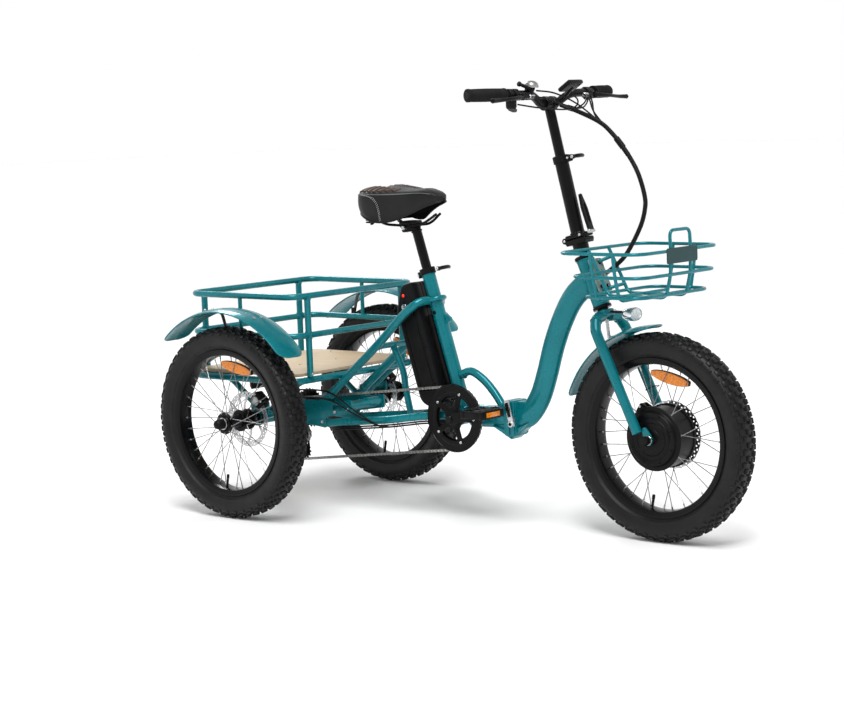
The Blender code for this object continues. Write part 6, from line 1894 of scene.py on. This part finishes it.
def bar_path(side):
    knots = [
        (0.8985, 0.0, 1.14), (0.8985, 0.012, 1.14), (0.8985, 0.036, 1.1405), (0.904, 0.066, 1.156),
        (0.908, 0.095, 1.164)
    ]
    knots += [(0.9075, 0.145, 1.1655), (0.9035, 0.191, 1.166), (0.871, 0.305, 1.1669)]
    return route(mirrored(knots, side))


def handlebar():
    piece = Shape("bar_and_controls", "handlebar_unit", "handlebar", slot="black_metal")
    piece.add(rod(on_stem(0.1), BAR_CENTRE - STEM_UP * 0.004, 0.0136, 32, 0.001), "black_gloss")
    for side in (-1, 1):
        piece.add(sweep(bar_path(side), 0.011, 24), "black_metal")
        inner = Vector((0.8985, side * 0.006, 1.14))
        piece.add(sleeve(inner, inner + Y * side * 0.017, 0.019, 0.0105, 36, 0.002), "black_gloss")
        piece.add(bolt((0.915, side * 0.015, 1.144), X, 0.0042, 0.0035), "black_metal")
        perch = frame_at((0.9135, side * 0.156, 1.161), X, Y)
        piece.add(cuboid((0.02, 0.022, 0.03), perch, 0.006, 3), "black_plastic")
        piece.add(
            sleeve(
                (0.9075, side * 0.148, 1.1655), (0.9065, side * 0.164, 1.1656), 0.0152, 0.0108, 30, 0.0015
            ),
            "black_plastic"
        )
        piece.add(
            rod((0.936, side * 0.158, 1.15), (0.936, side * 0.158, 1.167), 0.005, 20, 0.0008),
            "black_metal"
        )
        adjuster = Vector((0.933, side * 0.15, 1.159))
        piece.add(rod(adjuster, adjuster - Y * side * 0.022, 0.0046, 16, 0.001), "black_metal")
    piece.add(cuboid((0.02, 0.04, 0.03), at(0.903, 0, 1.14), 0.006, 3), "black_gloss")
    shifter = at(0.912, -0.176, 1.144)
    piece.add(cuboid((0.028, 0.022, 0.034), shifter, 0.009, 4), "black_plastic")
    piece.add(
        cuboid((0.02, 0.018, 0.01), turned(shifter @ at(0.004, 0, -0.017), 20, "Y"), 0.004, 3),
        "dark_grey"
    )
    piece.add(
        sleeve((0.905, -0.168, 1.1658), (0.9044, -0.184, 1.166), 0.015, 0.0108, 28, 0.0012),
        "black_plastic"
    )
    switch = at(0.902, 0.172, 1.158)
    piece.add(cuboid((0.026, 0.02, 0.024), switch, 0.007, 4), "black_plastic")
    for k, finish in enumerate(("dark_grey", "dark_grey", "red")):
        piece.add(
            revolve(
                [(0, 0), (0.0032, 0), (0.003, 0.0016), (0, 0.002)],
                frame_at((0.89, 0.166 + 0.006 * k, 1.158), -X), 14
            ),
            finish
        )
    piece.add(
        sleeve((0.908, -0.092, 1.164), (0.908, -0.108, 1.1644), 0.014, 0.0108, 28, 0.0012),
        "black_plastic"
    )
    piece.add(rod((0.911, -0.1, 1.172), (0.9195, -0.1, 1.186), 0.0125, 24, 0.002), "black_plastic")
    dome = [
        (0.0182, 0.0), (0.0187, 0.0014), (0.018, 0.006), (0.015, 0.0112), (0.01, 0.0146), (0.0045, 0.016)
    ]
    piece.add(
        revolve(dome + [(0.0, 0.0163), (0.0, 0.0)], frame_at((0.9205, -0.1, 1.184), (0.14, 0, 0.99)), 36),
        "bell"
    )
    piece.add(rod((0.923, -0.112, 1.18), (0.913, -0.142, 1.1925), 0.0046, 18, 0.001), "black_plastic")
    piece.add(rod((0.9142, -0.1385, 1.191), (0.912, -0.145, 1.1937), 0.0066, 20, 0.0012), "black_gloss")
    piece.add(cuboid((0.026, 0.03, 0.018), at(0.918, -0.128, 1.162), 0.006, 3), "black_plastic")
    piece.add(rod((0.933, -0.127, 1.16), (0.935, -0.109, 1.16), 0.0052, 18, 0.001), "steel")
    piece.add(rod((0.933, 0.127, 1.16), (0.935, 0.109, 1.16), 0.0052, 18, 0.001), "steel")
    piece.make()
    for name, side in SIDES.items():
        piece = Shape(f"{name}_ribbed_grip", "handlebar_unit", f"grip_{name}", slot="grip_rubber")
        inner, outer = Vector((0.9035, side * 0.191, 1.166)), Vector((0.871, side * 0.305, 1.1669))
        length = (outer - inner).length
        profile = [(0.0118, 0.0), (0.0168, 0.0), (0.0172, 0.002), (0.0172, 0.0055), (0.0158, 0.0065)]
        for k in range(34):
            h = 0.0085 + k * (length - 0.02) / 33
            profile += [
                (0.0158 + 0.0008 * math.sin(math.pi * k / 33), h - 0.0009),
                (0.0166 + 0.0006 * math.sin(math.pi * k / 33), h)
            ]
        profile += [
            (0.0158, length - 0.008), (0.0172, length - 0.0068), (0.0172, length - 0.0012),
            (0.015, length), (0.0118, length)
        ]
        piece.add(revolve(profile, frame_at(inner, outer - inner), 36), "grip_rubber")
        piece.add(
            rod(
                outer - (outer - inner).normalized() * 0.004,
                outer + (outer - inner).normalized() * 0.0008, 0.0116, 24, 0.001
            ),
            "black_plastic"
        )
        piece.make(30)
        piece = Shape(
            f"{name}_lever_blade", f"{name}_brake_lever", f"brake_lever_{name}", slot="black_metal"
        )
        knots = [
            (0.936, 0.16, 1.158), (0.944, 0.185, 1.157), (0.947, 0.215, 1.155), (0.943, 0.258, 1.152),
            (0.944, 0.292, 1.151)
        ]
        path = route(mirrored(knots, side))
        radii = [0.006 - 0.0014 * math.sin(math.pi * i / (len(path) - 1)) for i in range(len(path))]
        piece.add(sweep(path, radii, 16), "black_metal")
        piece.add(
            revolve(
                [(0, -0.0062), (0.0045, -0.0042), (0.0064, 0), (0.0045, 0.0042), (0, 0.0062)],
                frame_at(path[-1], Y), 18
            ),
            "black_metal"
        )
        piece.make()
    piece = Shape("colour_display", "handlebar_unit", "display", slot="black_plastic")
    seat = turned(at(0.946, 0.036, 1.184), 58, "Y")
    piece.add(cuboid((0.012, 0.062, 0.046), seat, 0.005, 4), "black_plastic")
    piece.add(cuboid((0.0012, 0.052, 0.034), seat @ at(-0.0062, 0, 0.002), 0.0005), "screen")
    for k in (-1, 0, 1):
        piece.add(
            cuboid((0.002, 0.008, 0.003), seat @ at(-0.0062, 0.013 * k, -0.019), 0.0008), "dark_grey"
        )
    piece.add(rod((0.9195, 0.05, 1.159), (0.946, 0.042, 1.179), 0.005, 18), "black_plastic")
    piece.make()


# ---------------------------------------------------------------- the loom from the bar to the frame
LOOM = [(0.9235, 0.018, 1.135), (0.96, 0.04, 1.118), (1.02, 0.058, 1.087), (1.06, 0.06, 1.055)]
LOOM += [(1.105, 0.058, 1.006), (1.14, 0.055, 0.955), (1.162, 0.052, 0.896), (1.166, 0.047, 0.86)]
LOOM += [(1.155, 0.038, 0.811), (1.115, 0.03, 0.742), (1.068, 0.029, 0.703), (1.037, 0.029, 0.686)]


def loom():
    """Three sleeves of the cable loom, laid along one path from the bar to the frame and attached to no body.
    """
    path = route(LOOM)
    parts = (
        ("loom_upper", path[:37], "handlebar_unit", "stem"),
        ("loom_middle", path[36:53], "stem", "fork_assembly"),
        ("loom_lower", path[52:], "fork_assembly", "front_frame"),
    )
    for name, points, first, second in parts:
        piece = Shape(name, None, slot="cable_black")
        piece.add(sweep(points, 0.006, 18), "cable")
        if name == "loom_upper":
            piece.add(
                sweep([p + Vector((0.004, -0.007, 0.003)) for p in points[6:]], 0.0022, 10), "cable"
            )
            piece.add(rod(points[26], points[30], 0.0082, 20, 0.0015), "black_plastic")
            piece.add(rod(points[29], points[33], 0.0066, 20, 0.001), "black_plastic")
            for run in (
                (
                    (0.925, -0.085, 1.174), (0.942, -0.03, 1.166), (0.97, 0.025, 1.138),
                    (1.018, 0.054, 1.092)
                ),
                ((0.935, 0.109, 1.16), (0.962, 0.095, 1.148), (0.99, 0.074, 1.116), (1.03, 0.06, 1.082)),
                ((0.935, 0.14, 1.154), (0.956, 0.118, 1.136), (0.99, 0.08, 1.106), (1.03, 0.062, 1.079)),
            ):
                piece.add(sweep(route(run), 0.0022, 10), "cable")
        loop = piece.make()
        start, end = Vector(points[3]) + SHIFT, Vector(points[-4]) + SHIFT
        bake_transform(loop)
        if name == "loom_upper":
            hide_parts("cable_bundle_upper")
        if name == "loom_lower":
            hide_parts("cable_bundle_lower")
    piece = Shape("control_cables", "handlebar_unit", slot="cable_black")
    clip = Vector((0.95, 0.04, 1.123))
    runs = (
        ((0.933, -0.128, 1.159), (0.956, -0.095, 1.154), (0.966, -0.03, 1.136)),
        ((0.933, 0.128, 1.159), (0.95, 0.105, 1.156), (0.962, 0.07, 1.136)),
        ((0.92, -0.16, 1.14), (0.948, -0.11, 1.13), (0.962, -0.03, 1.123)),
        ((0.908, 0.164, 1.148), (0.935, 0.12, 1.136), (0.955, 0.075, 1.126)),
        ((0.95, 0.036, 1.162), (0.964, 0.04, 1.148), (0.964, 0.04, 1.135)),
    )
    for k, run in enumerate(runs):
        end = clip + Vector((0.003 * (k % 2), 0.002 * k - 0.004, 0.003 * (k // 2) - 0.002))
        piece.add(sweep(route([*run, end]), 0.0021, 10), "cable")
    piece.add(
        sleeve(
            clip - Vector((0.014, 0.008, -0.005)), clip + Vector((0.01, 0.005, -0.004)), 0.0075, 0.003, 20
        ),
        "black_plastic"
    )
    piece.make()


# ---------------------------------------------------------------- building the whole object
add_camera()
add_studio()
BUILDERS = (
    loom, rear_wheels, front_wheel, seat_tube, main_tube, stays, axle_carrier, deck_frame, cargo_basket,
    rear_fenders, rear_calipers, stay_bridge, tail_light, chain, cassette, derailleur, crankset, pedals,
    battery, saddle, seat_post, down_tube, fork, front_basket, stem, handlebar, quick_releases,
)
for build in BUILDERS:
    build()
